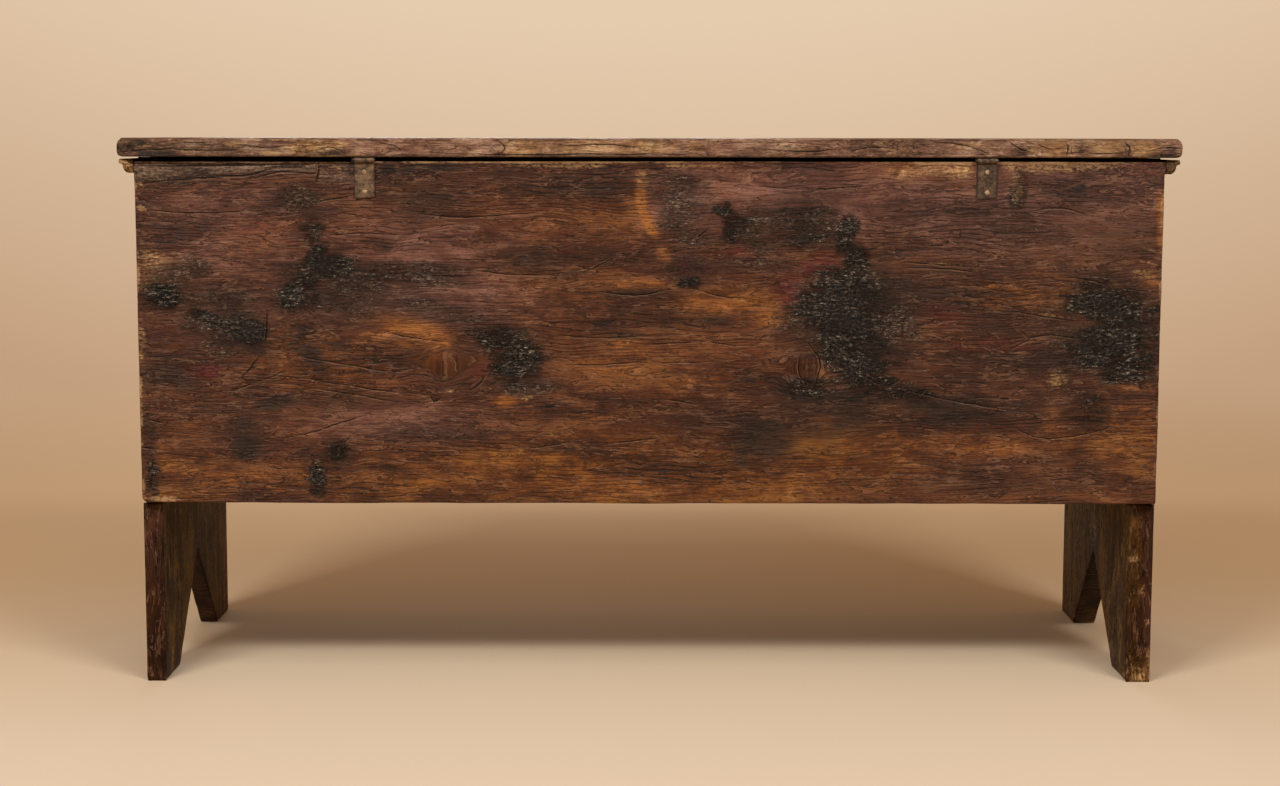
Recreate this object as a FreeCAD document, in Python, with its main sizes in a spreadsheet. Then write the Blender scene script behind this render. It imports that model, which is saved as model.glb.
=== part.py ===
"""Boarded storage chest: six planks nailed together, legs sawn from the end planks, hinged lid.

Millimetres, +Z up, with the floor at Z 0. The hinged back of the chest faces +Y and its front -Y.
Seen from above, the lid is centred on the origin.
"""
import FreeCAD, Part
import os
import sys

import Sketcher
from FreeCAD import Rotation, Vector

doc = FreeCAD.newDocument("boarded_chest")

# Driving dimensions
DIMENSIONS = [
    # Case
    ("case_length", "1176"),
    ("case_height", "610.5"),
    ("skirt_clearance", "211"),
    ("board_thickness", "25"),
    ("back_board_drop", "6"),
    ("board_edge_radius", "2"),
    # End boards, which go down to the floor as the legs
    ("end_board_depth", "400"),
    ("right_end_thickness", "24"),
    ("left_end_thickness", "30"),
    ("rabbet_depth", "15"),
    ("foot_width", "79"),
    ("notch_height", "118"),
    ("notch_apex_radius", "4"),
    ("foot_corner_radius", "5"),
    # Bottom board
    ("bottom_thickness", "22"),
    ("bottom_rise", "14"),
    ("dado_depth", "8"),
    ("joint_clearance", "0.2"),
    # Lid
    ("lid_thickness", "22"),
    ("lid_end_overhang", "18"),
    ("lid_front_overhang", "21"),
    ("lid_rear_overhang", "7"),
    ("lid_rest_gap", "0.3"),
    ("lid_end_top_radius", "9"),
    ("lid_end_bottom_radius", "6"),
    ("lid_edge_radius", "2.5"),
    # Moulding under the lid, along the front and both ends
    ("moulding_projection", "16"),
    ("moulding_height", "16"),
    ("moulding_drop", "2"),
    ("moulding_fillet", "5"),
    ("moulding_cove_width", "4.5"),
    ("moulding_cove_height", "2.5"),
    ("moulding_foot", "6"),
    ("moulding_rear_setback", "2"),
    # Hinges
    ("right_hinge_from_end", "264"),
    ("left_hinge_from_end", "204"),
    ("leaf_width", "24"),
    ("leaf_thickness", "1.6"),
    ("case_leaf_length", "47"),
    ("lid_leaf_length", "64"),
    ("leaf_corner_radius", "3"),
    ("pin_radius", "1.4"),
    ("pin_clearance", "0.05"),
    ("pin_head_radius", "2.4"),
    ("pin_head_length", "1.2"),
    ("pin_overhang", "0.6"),
    ("roll_clearance", "0.3"),
    ("case_knuckle_width", "14"),
    ("knuckle_gap", "0.6"),
    # Wrought nails that hold the boards together
    ("nail_half_width", "1.9"),
    ("nail_head_half_width", "3.6"),
    ("nail_head_height", "1.2"),
    ("nail_length", "48"),
    ("nail_top_margin", "52"),
    ("nail_bottom_margin", "46"),
    ("nail_end_margin", "120"),
    # Wrought nails that hold the hinge leaves
    ("hinge_nail_half_width", "1.2"),
    ("hinge_nail_head_half_width", "3"),
    ("hinge_nail_head_height", "1.2"),
    ("hinge_nail_length", "18"),
    ("case_leaf_first_nail", "13"),
    ("lid_leaf_first_nail", "34"),
    ("leaf_nail_pitch", "23"),
    # Headless brads that hold the moulding
    ("brad_half_width", "0.9"),
    ("brad_length", "30"),
    ("brad_end_margin", "40"),
    # Holes for every nail and brad
    ("hole_clearance", "0.05"),
    ("hole_overrun", "1"),
]

# Chosen shares of the sizes that they follow
OVOLO_ROUND_SHARE = 0.68
COVE_ROUND_SHARE = 0.66
NAIL_TIP_SHARE = 0.3
NAIL_CROWN_SHARE = 0.45
END_NAIL_SHARES = (0, 0.34, 0.67, 1)
BACK_NAIL_SHARES = (-1, -0.48, 0.02, 0.6, 1)
FRONT_NAIL_SHARES = (-1, -0.5, 0, 0.5, 1)
LONG_BRAD_SHARES = (-1, -0.5, 0, 0.5, 1)
SHORT_BRAD_SHARES = (-1, 0, 1)

sheet = doc.addObject("Spreadsheet::Sheet", "dims")
for row, (alias, number) in enumerate(DIMENSIONS, start=1):
    sheet.set(f"A{row}", alias)
    sheet.set(f"B{row}", number)
    sheet.setAlias(f"B{row}", alias)
doc.recompute()

# Places and sizes that follow from the driving dimensions, as expressions
CASE_Y = "(dims.lid_front_overhang - dims.lid_rear_overhang) / 2"
HALF_LENGTH = "dims.case_length / 2"
HALF_DEPTH = "(dims.end_board_depth / 2)"
SEAT = f"({HALF_DEPTH} - dims.rabbet_depth)"
HALF_CASE = f"({SEAT} + dims.board_thickness)"
BACK_IN = f"({CASE_Y} + {SEAT})"
BACK_OUT = f"({CASE_Y} + {HALF_CASE})"
FRONT_IN = f"({CASE_Y} - {SEAT})"
FRONT_OUT = f"({CASE_Y} - {HALF_CASE})"
LID_UNDERSIDE = "(dims.case_height + dims.lid_rest_gap)"
LID_HALF_LENGTH = f"({HALF_LENGTH} + dims.lid_end_overhang)"
LID_DEPTH = f"(2 * {HALF_CASE} + dims.lid_front_overhang + dims.lid_rear_overhang)"
RIGHT_INNER = f"({HALF_LENGTH} - dims.right_end_thickness)"
LEFT_INNER = f"(-{HALF_LENGTH} + dims.left_end_thickness)"
BOTTOM_UNDERSIDE = "(dims.skirt_clearance + dims.bottom_rise)"
MOULDING_BASE = "(dims.case_height - dims.moulding_drop - dims.moulding_height)"
WAIST_OUT = "(dims.moulding_projection - dims.moulding_cove_width)"
WAIST_UP = "(dims.moulding_height - dims.moulding_fillet - dims.moulding_cove_height)"
BORE_RADIUS = "(dims.pin_radius + dims.pin_clearance)"
ROLL_RADIUS = f"({BORE_RADIUS} + dims.leaf_thickness)"
ROLL_SPACE = f"({ROLL_RADIUS} + dims.roll_clearance)"
AXIS_Y = f"({BACK_OUT} + {ROLL_RADIUS})"
AXIS_Z = f"({LID_UNDERSIDE} - {ROLL_SPACE})"
LID_KNUCKLE_WIDTH = "(dims.leaf_width - dims.case_knuckle_width - dims.knuckle_gap)"
RIGHT_HINGE_X = f"({HALF_LENGTH} - dims.right_hinge_from_end)"
LEFT_HINGE_X = f"(-{HALF_LENGTH} + dims.left_hinge_from_end)"

# Directions of a nail, which is made pointing along +Y
INTO_BACK = Rotation(Vector(0, 0, 1), 180)
INTO_FRONT = Rotation()
INTO_RIGHT_END = Rotation(Vector(0, 0, 1), 90)
INTO_LEFT_END = Rotation(Vector(0, 0, 1), -90)
UP_INTO_LID = Rotation(Vector(1, 0, 0), 90)
ALONG_X = Rotation(Vector(0, 1, 0), 90)

PLANE_ROLES = {"xy": "XY_Plane", "xz": "XZ_Plane", "yz": "YZ_Plane"}
SAME_PLACE = 1e-4

parts = {}


def value(expression):
    """The number that an expression on the sheet stands for."""
    return float(sheet.evalExpression(expression))


def bind(thing, **expressions):
    """Ties properties of an object to the sheet."""
    for name, expression in expressions.items():
        thing.setExpression(name.replace("__", "."), expression)


def place(thing, x="0", y="0", z="0", turn=None):
    """Places an object by expressions, turned by a fixed rotation if one is given."""
    if turn is not None:
        thing.Placement = FreeCAD.Placement(Vector(), turn)
    bind(thing, Placement__Base__x=x, Placement__Base__y=y, Placement__Base__z=z)
    return thing


# Sketches and the features made from them

def new_sketch(body, name, plane, offset="0"):
    """An empty sketch on one of a body's own origin planes, moved along its normal."""
    sketch = body.newObject("Sketcher::SketchObject", name)
    role = PLANE_ROLES[plane]
    support = next(f for f in body.Origin.OriginFeatures if f.Role == role)
    sketch.AttachmentSupport = [(support, "")]
    sketch.MapMode = "FlatFace"
    bind(sketch, AttachmentOffset__Base__z=offset)
    return sketch


def arc_between(start, end, radius, bulge, long_way):
    """The arc of a radius from start to end, bulging left of the chord for 1 and right for -1.
    It is drawn anticlockwise, so its own start may be the given end."""
    chord = end - start
    half = chord.Length / 2
    rise = (radius * radius - half * half) ** 0.5
    side = Vector(-chord.y, chord.x, 0).normalize() * bulge
    centre = start + chord / 2 + side * (rise if long_way else -rise)
    first, last = (start, end) if bulge < 0 else (end, start)
    return Part.Arc(first, centre + side * radius, last)


def draw_outline(sketch, points):
    """Draws a closed outline. A corner is two expressions, and a third entry
    (radius, bulge, long_way) makes the edge to the next corner an arc."""
    corners = [Vector(value(point[0]), value(point[1]), 0) for point in points]
    following = corners[1:] + corners[:1]
    first = sketch.GeometryCount
    ends = []
    for point, start, end in zip(points, corners, following):
        edge = Part.LineSegment(start, end)
        if len(point) > 2:
            radius, bulge, long_way = point[2]
            edge = arc_between(start, end, value(radius), bulge, long_way)
        index = sketch.addGeometry(edge, False)
        drawn = sketch.Geometry[index]
        ends.append((1, 2) if drawn.StartPoint.isEqual(start, SAME_PLACE) else (2, 1))
    for i, point in enumerate(points):
        j = (i + 1) % len(points)
        sketch.addConstraint(
            Sketcher.Constraint("Coincident", first + i, ends[i][1], first + j, ends[j][0]))
        for kind, expression in (("DistanceX", point[0]), ("DistanceY", point[1])):
            fixed = Sketcher.Constraint(kind, -1, 1, first + i, ends[i][0], value(expression))
            sketch.setExpression(f"Constraints[{sketch.addConstraint(fixed)}]", expression)
        if len(point) > 2:
            sized = Sketcher.Constraint("Radius", first + i, value(point[2][0]))
            sketch.setExpression(f"Constraints[{sketch.addConstraint(sized)}]", point[2][0])


def draw_bore(sketch, radius):
    """Draws a circle about the sketch's origin."""
    circle = Part.Circle(Vector(), Vector(0, 0, 1), value(radius))
    index = sketch.addGeometry(circle, False)
    sketch.addConstraint(Sketcher.Constraint("Coincident", index, 3, -1, 1))
    sized = Sketcher.Constraint("Radius", index, value(radius))
    sketch.setExpression(f"Constraints[{sketch.addConstraint(sized)}]", radius)


def pad(body, name, plane, points, length, offset="0", bore=None):
    """Pads an outline, with a bore about the sketch's origin if a radius is given."""
    sketch = new_sketch(body, f"{name}_outline", plane, offset)
    draw_outline(sketch, points)
    if bore:
        draw_bore(sketch, bore)
    feature = body.newObject("PartDesign::Pad", name)
    feature.Profile = sketch
    bind(feature, Length=length)
    doc.recompute()
    return feature


def pocket(body, name, plane, points, length):
    """Pockets an outline to both sides of its plane, and stops if that cuts nothing."""
    before = body.Shape.Volume
    sketch = new_sketch(body, f"{name}_outline", plane)
    draw_outline(sketch, points)
    feature = body.newObject("PartDesign::Pocket", name)
    feature.Profile = sketch
    feature.SideType = "Symmetric"
    bind(feature, Length=length)
    doc.recompute()
    if body.Shape.Volume >= before:
        sys.exit(f"{name} cuts nothing")


def round_edges(body, name, radius, chosen, along=None):
    """Fillets the edges of a body whose end points pass a test, all or only those along a direction."""
    base = body.Tip
    names = []
    for i, edge in enumerate(base.Shape.Edges, start=1):
        ends = [vertex.Point for vertex in edge.Vertexes]
        turned = along and (ends[-1] - ends[0]).cross(along).Length > SAME_PLACE
        if len(ends) > 1 and not turned and all(chosen(point) for point in ends):
            names.append(f"Edge{i}")
    feature = body.newObject("PartDesign::Fillet", name)
    feature.Base = (base, names)
    bind(feature, Radius=radius)
    doc.recompute()
    if not names:
        sys.exit(f"{name} has no edges to round")


def near(number, expression):
    return abs(number - value(expression)) < SAME_PLACE


def rectangle(left, low, right, high):
    return [(left, low), (right, low), (right, high), (left, high)]


def finish(label, solid, holes=()):
    """Takes an object, less its holes, as the sub-part of that label."""
    made = solid
    if holes:
        tools = doc.addObject("Part::Compound", f"{label}_holes")
        tools.Links = list(holes)
        made = doc.addObject("Part::Cut", f"{label}_bored")
        made.Base = solid
        made.Tool = tools
    made.Label = label
    parts[label] = made


# Nails and their holes

def tapered_bar(half_width, end_half_width, start, end):
    """A square bar along Y, from one half width at its start to another at its end."""
    bar = doc.addObject("Part::Wedge", "bar")
    bind(bar, Xmin=f"-({half_width})", Xmax=half_width, Zmin=f"-({half_width})", Zmax=half_width,
         X2min=f"-({end_half_width})", X2max=end_half_width,
         Z2min=f"-({end_half_width})", Z2max=end_half_width, Ymin=start, Ymax=end)
    return bar


def nails(places, turn, half_width, length, head=None):
    """A group of square nails, one to a place. A head is (half width, height)."""
    made = []
    for spot in places:
        nail = tapered_bar(half_width, f"{NAIL_TIP_SHARE} * {half_width}", "0", length)
        if head:
            crown = tapered_bar(f"{NAIL_CROWN_SHARE} * {head[0]}", head[0], f"-{head[1]}", "0")
            headed = doc.addObject("Part::Fuse", "nail")
            headed.Base = nail
            headed.Tool = crown
            nail = headed
        made.append(place(nail, *spot, turn))
    group = doc.addObject("Part::Compound", "nails")
    group.Links = made
    return group


def nail_holes(places, turn, half_width, length):
    """Holes for a group of nails, a little wider than their shanks and deeper than their points."""
    wide = f"{half_width} + dims.hole_clearance"
    narrow = f"{NAIL_TIP_SHARE} * {half_width} + dims.hole_clearance"
    group = doc.addObject("Part::Compound", "holes")
    group.Links = [place(tapered_bar(wide, narrow, "-dims.hole_overrun", f"{length} + dims.hole_overrun"),
                         *spot, turn)
                   for spot in places]
    return group


def board_nails(label, face_y, turn, row_shares):
    """The nails of the front or back board: one column into each end board and one row
    into the edge of the bottom board. Returns their holes."""
    high = "(dims.case_height - dims.nail_top_margin)"
    low = "(dims.skirt_clearance + dims.nail_bottom_margin)"
    columns = (f"{HALF_LENGTH} - dims.right_end_thickness / 2", f"-{HALF_LENGTH} + dims.left_end_thickness / 2")
    places = [(x, face_y, f"{low} + {share} * ({high} - {low})")
              for x in columns for share in END_NAIL_SHARES]
    places += [(f"{share} * ({HALF_LENGTH} - dims.nail_end_margin)", face_y,
                f"{BOTTOM_UNDERSIDE} + dims.bottom_thickness / 2")
               for share in row_shares]
    size = ("dims.nail_half_width", "dims.nail_length")
    finish(label, nails(places, turn, *size, ("dims.nail_head_half_width", "dims.nail_head_height")))
    return nail_holes(places, turn, *size)


def moulding_nails():
    """Brads driven through the cove of each moulding. Returns the holes of the front,
    right and left mouldings."""
    level = f"{MOULDING_BASE} + {WAIST_UP}"
    span = f"({HALF_LENGTH} - dims.brad_end_margin)"
    run = f"({SEAT} - dims.brad_end_margin)"
    front = [(f"{share} * {span}", f"{FRONT_OUT} - {WAIST_OUT}", level) for share in LONG_BRAD_SHARES]
    right = [(f"{HALF_LENGTH} + {WAIST_OUT}", f"{CASE_Y} + {share} * {run}", level)
             for share in SHORT_BRAD_SHARES]
    left = [(f"-{HALF_LENGTH} - {WAIST_OUT}", f"{CASE_Y} + {share} * {run}", level)
            for share in SHORT_BRAD_SHARES]
    rows = ((front, INTO_FRONT), (right, INTO_RIGHT_END), (left, INTO_LEFT_END))
    size = ("dims.brad_half_width", "dims.brad_length")
    group = doc.addObject("Part::Compound", "brads")
    group.Links = [nails(places, turn, *size) for places, turn in rows]
    finish("moulding_nails", group)
    return [nail_holes(places, turn, *size) for places, turn in rows]


def hinge_nails():
    """The nails of all four hinge leaves. Returns the holes in the case and in the lid."""
    size = ("dims.hinge_nail_half_width", "dims.hinge_nail_length")
    head = ("dims.hinge_nail_head_half_width", "dims.hinge_nail_head_height")
    centres = (RIGHT_HINGE_X, LEFT_HINGE_X)
    pitches = ("0", "dims.leaf_nail_pitch")
    on_case = [(x, f"{BACK_OUT} + dims.leaf_thickness", f"{AXIS_Z} - dims.case_leaf_first_nail - {pitch}")
               for x in centres for pitch in pitches]
    on_lid = [(x, f"{AXIS_Y} - dims.lid_leaf_first_nail - {pitch}", f"{LID_UNDERSIDE} - dims.leaf_thickness")
              for x in centres for pitch in pitches]
    finish("hinge_case_nails", nails(on_case, INTO_BACK, *size, head))
    finish("hinge_lid_nails", nails(on_lid, UP_INTO_LID, *size, head))
    return nail_holes(on_case, INTO_BACK, *size), nail_holes(on_lid, UP_INTO_LID, *size)


back_holes = board_nails("back_board_nails", BACK_OUT, INTO_BACK, BACK_NAIL_SHARES)
front_holes = board_nails("front_board_nails", FRONT_OUT, INTO_FRONT, FRONT_NAIL_SHARES)
front_brad_holes, right_brad_holes, left_brad_holes = moulding_nails()
case_leaf_holes, lid_leaf_holes = hinge_nails()


# Boards of the case

def end_board(label, inner_x, outer_x, thickness, brad_holes):
    """A plank on end. Its V notch leaves two feet, its rabbets take the front and back boards,
    and its dado takes the bottom board."""
    body = doc.addObject("PartDesign::Body", f"{label}_plank")
    foot_in = f"({HALF_DEPTH} - dims.foot_width)"
    outline = [(f"-{HALF_DEPTH}", "0"), (f"-{foot_in}", "0"), ("0", "dims.notch_height"), (foot_in, "0"),
               (HALF_DEPTH, "0"), (HALF_DEPTH, "dims.skirt_clearance"), (SEAT, "dims.skirt_clearance"),
               (SEAT, "dims.case_height"), (f"-{SEAT}", "dims.case_height"),
               (f"-{SEAT}", "dims.skirt_clearance"), (f"-{HALF_DEPTH}", "dims.skirt_clearance")]
    outward = value(outer_x) > value(inner_x)
    start = inner_x if outward else outer_x
    pad(body, f"{label}_outline", "yz", outline, thickness)
    groove = rectangle("0" if outward else f"{thickness} - dims.dado_depth", BOTTOM_UNDERSIDE,
                       "dims.dado_depth" if outward else thickness,
                       f"{BOTTOM_UNDERSIDE} + dims.bottom_thickness + dims.joint_clearance")
    pocket(body, f"{label}_dado", "xz", groove, "dims.end_board_depth")
    round_edges(body, f"{label}_apex", "dims.notch_apex_radius",
                lambda p: near(p.z, "dims.notch_height") and near(p.y, "0"))
    round_edges(body, f"{label}_feet", "dims.foot_corner_radius",
                lambda p: near(p.z, "0") and near(abs(p.y), HALF_DEPTH))
    place(body, start, CASE_Y)
    finish(label, body, (back_holes, front_holes, brad_holes))


def long_board(label, face_y, height, outward, holes):
    """The front or back board, with the edges of its outer face eased."""
    body = doc.addObject("PartDesign::Body", f"{label}_plank")
    outline = rectangle(f"-{HALF_LENGTH}", "0", HALF_LENGTH, height)
    pad(body, f"{label}_outline", "xz", outline, "dims.board_thickness")
    outer = "0" if outward > 0 else "-dims.board_thickness"
    round_edges(body, f"{label}_edges", "dims.board_edge_radius", lambda p: near(p.y, outer))
    place(body, "0", face_y, "dims.skirt_clearance")
    finish(label, body, holes)


def bottom_board():
    """The bottom, held in the dados of the end boards."""
    body = doc.addObject("PartDesign::Body", "bottom_board_plank")
    reach = "dims.dado_depth - dims.joint_clearance"
    half = f"({SEAT} - dims.joint_clearance)"
    outline = rectangle(f"{LEFT_INNER} - ({reach})", f"-{half}", f"{RIGHT_INNER} + {reach}", half)
    pad(body, "bottom_board_outline", "xy", outline, "dims.bottom_thickness")
    place(body, "0", CASE_Y, BOTTOM_UNDERSIDE)
    finish("bottom_board", body, (back_holes, front_holes))


end_board("right_end_board", RIGHT_INNER, HALF_LENGTH, "dims.right_end_thickness", right_brad_holes)
end_board("left_end_board", LEFT_INNER, f"-{HALF_LENGTH}", "dims.left_end_thickness", left_brad_holes)
long_board("back_board", BACK_OUT, "dims.case_height - dims.skirt_clearance - dims.back_board_drop", 1,
           (back_holes, case_leaf_holes))
long_board("front_board", FRONT_IN, "dims.case_height - dims.skirt_clearance", -1,
           (front_holes, front_brad_holes))
bottom_board()


# Lid

def lid_board():
    """The single plank of the lid, with rounded ends and eased edges."""
    body = doc.addObject("PartDesign::Body", "lid_board_plank")
    half = LID_HALF_LENGTH
    top, low = "dims.lid_end_top_radius", "dims.lid_end_bottom_radius"
    high = "dims.lid_thickness"
    outline = [(f"-{half} + {low}", "0"), (f"{half} - {low}", "0", (low, -1, False)),
               (half, low), (half, f"{high} - {top}", (top, -1, False)),
               (f"{half} - {top}", high), (f"-{half} + {top}", high, (top, -1, False)),
               (f"-{half}", f"{high} - {top}"), (f"-{half}", low, (low, -1, False))]
    pad(body, "lid_board_outline", "xz", outline, LID_DEPTH)
    round_edges(body, "lid_board_edges", "dims.lid_edge_radius",
                lambda p: near(p.y, "0") or near(p.y, f"-{LID_DEPTH}"))
    place(body, "0", f"{LID_DEPTH} / 2", LID_UNDERSIDE)
    finish("lid_board", body, (lid_leaf_holes,))


lid_board()


# Moulding

def chord_share(share, width, height):
    """A radius as a share of the chord that is so wide and high."""
    return f"{share} * sqrt(({width})^2 + ({height})^2)"


def moulding_profile(outward):
    """The section of the moulding: a flat fillet over a cove and an ovolo.
    Outward is 1 or -1, the way that the section grows."""
    ovolo = chord_share(OVOLO_ROUND_SHARE, f"{WAIST_OUT} - dims.moulding_foot", WAIST_UP)
    cove = chord_share(COVE_ROUND_SHARE, "dims.moulding_cove_width", "dims.moulding_cove_height")
    return [("0", "0"),
            (f"{outward} * dims.moulding_foot", "0", (ovolo, -outward, False)),
            (f"{outward} * {WAIST_OUT}", WAIST_UP, (cove, outward, False)),
            (f"{outward} * dims.moulding_projection", "dims.moulding_height - dims.moulding_fillet"),
            (f"{outward} * dims.moulding_projection", "dims.moulding_height"),
            ("0", "dims.moulding_height")]


def front_moulding():
    """The front length, mitred at both ends."""
    body = doc.addObject("PartDesign::Body", "front_moulding_strip")
    reach = f"({HALF_LENGTH} + dims.moulding_projection)"
    pad(body, "front_moulding_section", "yz", moulding_profile(-1), f"2 * {reach}", f"-{reach}")
    for name, side in (("right", ""), ("left", "-")):
        mitre = [(f"{side}{HALF_LENGTH}", "0"), (f"{side}{reach}", "0"),
                 (f"{side}{reach}", "-dims.moulding_projection")]
        pocket(body, f"front_moulding_{name}_mitre", "xy", mitre, "3 * dims.moulding_height")
    place(body, "0", FRONT_OUT, MOULDING_BASE)
    finish("front_moulding", body, (front_brad_holes,))


def end_moulding(label, face_x, outward, brad_holes):
    """The length on one end, mitred to the front length and cut square near the back."""
    body = doc.addObject("PartDesign::Body", f"{label}_strip")
    length = f"(2 * {HALF_CASE} + dims.moulding_projection - dims.moulding_rear_setback)"
    pad(body, f"{label}_section", "xz", moulding_profile(outward), length)
    mitre = [("0", f"-{length}"), (f"{outward} * dims.moulding_projection", f"-{length}"),
             ("0", f"dims.moulding_projection - {length}")]
    pocket(body, f"{label}_mitre", "xy", mitre, "3 * dims.moulding_height")
    place(body, face_x, f"{BACK_OUT} - dims.moulding_rear_setback", MOULDING_BASE)
    finish(label, body, (brad_holes,))


front_moulding()
end_moulding("right_moulding", HALF_LENGTH, 1, right_brad_holes)
end_moulding("left_moulding", f"-{HALF_LENGTH}", -1, left_brad_holes)


# Hinges, drawn about their pin

def case_leaf(label, centre_x):
    """The leaf on the outer face of the back board, rolled up and out round the pin."""
    body = doc.addObject("PartDesign::Body", f"{label}_iron")
    plate = rectangle(f"-{ROLL_RADIUS}", "-dims.case_leaf_length", f"-{BORE_RADIUS}", f"-{ROLL_SPACE}")
    pad(body, f"{label}_plate", "yz", plate, "dims.leaf_width")
    neck_top = f"-sqrt({ROLL_RADIUS}^2 - {BORE_RADIUS}^2)"
    knuckle = [(f"-{ROLL_RADIUS}", f"-{ROLL_SPACE}"), (f"-{BORE_RADIUS}", f"-{ROLL_SPACE}"),
               (f"-{BORE_RADIUS}", neck_top, (ROLL_RADIUS, -1, True)), (f"-{ROLL_RADIUS}", "0")]
    pad(body, f"{label}_knuckle", "yz", knuckle, "dims.case_knuckle_width",
        "dims.leaf_width - dims.case_knuckle_width", BORE_RADIUS)
    round_edges(body, f"{label}_corners", "dims.leaf_corner_radius",
                lambda p: near(p.z, "-dims.case_leaf_length"), Vector(0, 1, 0))
    place(body, f"{centre_x} - dims.leaf_width / 2", AXIS_Y, AXIS_Z)
    finish(label, body, (case_leaf_holes,))


def lid_leaf(label, centre_x):
    """The leaf flat on the underside of the lid, rolled down round the pin."""
    body = doc.addObject("PartDesign::Body", f"{label}_iron")
    under = f"{ROLL_SPACE} - dims.leaf_thickness"
    plate = rectangle("-dims.lid_leaf_length", under, f"-{ROLL_SPACE}", ROLL_SPACE)
    pad(body, f"{label}_plate", "yz", plate, "dims.leaf_width")
    neck_in = f"-sqrt({ROLL_RADIUS}^2 - ({under})^2)"
    knuckle = [(f"-{ROLL_SPACE}", under), (f"-{ROLL_SPACE}", ROLL_SPACE), ("0", ROLL_RADIUS, (ROLL_RADIUS, 1, True)),
               (neck_in, under)]
    pad(body, f"{label}_knuckle", "yz", knuckle, LID_KNUCKLE_WIDTH, "0", BORE_RADIUS)
    round_edges(body, f"{label}_corners", "dims.leaf_corner_radius",
                lambda p: near(p.y, "-dims.lid_leaf_length"), Vector(0, 0, 1))
    place(body, f"{centre_x} - dims.leaf_width / 2", AXIS_Y, AXIS_Z)
    finish(label, body, (lid_leaf_holes,))


def hinge_pin(label, centre_x):
    """The pin, with a head at its right end."""
    shank = doc.addObject("Part::Cylinder", f"{label}_shank")
    bind(shank, Radius="dims.pin_radius", Height="dims.leaf_width + 2 * dims.pin_overhang")
    place(shank, f"{centre_x} - dims.leaf_width / 2 - dims.pin_overhang", AXIS_Y, AXIS_Z, ALONG_X)
    head = doc.addObject("Part::Cylinder", f"{label}_head")
    bind(head, Radius="dims.pin_head_radius", Height="dims.pin_head_length")
    place(head, f"{centre_x} + dims.leaf_width / 2 + dims.pin_overhang", AXIS_Y, AXIS_Z, ALONG_X)
    pin = doc.addObject("Part::Fuse", f"{label}_solid")
    pin.Base = shank
    pin.Tool = head
    finish(label, pin)


for side, centre in (("right", RIGHT_HINGE_X), ("left", LEFT_HINGE_X)):
    case_leaf(f"{side}_hinge_case_leaf", centre)
    lid_leaf(f"{side}_hinge_lid_leaf", centre)
    hinge_pin(f"{side}_hinge_pin", centre)


# Checks and files

doc.recompute()
for thing in doc.Objects:
    if "Invalid" in thing.State or "Error" in thing.State:
        sys.exit(f"{thing.Label} failed: {thing.State}")
for label, part in parts.items():
    if part.Shape.isNull() or not part.Shape.isValid():
        sys.exit(f"{label} has no valid shape")

os.makedirs("parts", exist_ok=True)
for label, part in parts.items():
    part.Shape.exportStep(f"parts/{label}.step")
    print(f"{label}: {len(part.Shape.Solids)} solids, {part.Shape.Volume / 1000:.1f} cm3")
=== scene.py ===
"""The looks of a boarded storage chest: worn, stained oak planks and brown wrought iron."""
import itertools
import math

import bmesh
import bpy
import numpy as np
from mathutils import Matrix, Vector


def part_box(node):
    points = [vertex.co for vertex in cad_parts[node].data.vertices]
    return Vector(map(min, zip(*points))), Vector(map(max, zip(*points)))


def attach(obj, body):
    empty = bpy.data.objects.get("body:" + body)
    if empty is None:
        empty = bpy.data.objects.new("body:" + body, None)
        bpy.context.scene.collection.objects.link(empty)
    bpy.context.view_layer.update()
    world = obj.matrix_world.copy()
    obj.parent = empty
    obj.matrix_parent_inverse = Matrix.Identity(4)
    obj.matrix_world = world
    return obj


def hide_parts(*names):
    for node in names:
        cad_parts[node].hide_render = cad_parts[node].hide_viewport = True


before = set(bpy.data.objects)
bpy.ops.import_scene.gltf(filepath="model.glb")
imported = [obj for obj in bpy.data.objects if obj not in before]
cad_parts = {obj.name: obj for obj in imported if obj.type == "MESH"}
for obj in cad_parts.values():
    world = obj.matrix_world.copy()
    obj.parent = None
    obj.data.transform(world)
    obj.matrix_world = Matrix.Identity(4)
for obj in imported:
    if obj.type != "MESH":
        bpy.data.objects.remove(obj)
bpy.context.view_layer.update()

MM = 0.001

# The photograph's camera. Its picture is 1280 pixels wide and 786 high.
PHOTO_WIDTH = 1280
PHOTO_HEIGHT = 786
FOCAL_PIXELS = 2250.0
SENSOR_MM = 36.0
CAMERA_PLACE = Vector((0.01042, 2.7876, 0.6362))
CAMERA_PITCH = 0.1142
CAMERA_ROLL = 0.0014


def camera_axes():
    """The camera's right, up and forward directions."""
    forward = Vector((0.0, -math.cos(CAMERA_PITCH), -math.sin(CAMERA_PITCH)))
    up = Vector((0.0, -math.sin(CAMERA_PITCH), math.cos(CAMERA_PITCH)))
    right = forward.cross(up)
    turned_right = right * math.cos(CAMERA_ROLL) + up * math.sin(CAMERA_ROLL)
    turned_up = up * math.cos(CAMERA_ROLL) - right * math.sin(CAMERA_ROLL)
    return turned_right, turned_up, forward


def photo_pixels(points):
    """Where points, an array of rows x, y, z, fall in the photograph."""
    right, up, forward = (np.array(axis) for axis in camera_axes())
    away = points - np.array(CAMERA_PLACE)
    depth = away @ forward
    px = PHOTO_WIDTH / 2 + FOCAL_PIXELS * (away @ right) / depth
    py = PHOTO_HEIGHT / 2 - FOCAL_PIXELS * (away @ up) / depth
    return px, py


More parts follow.
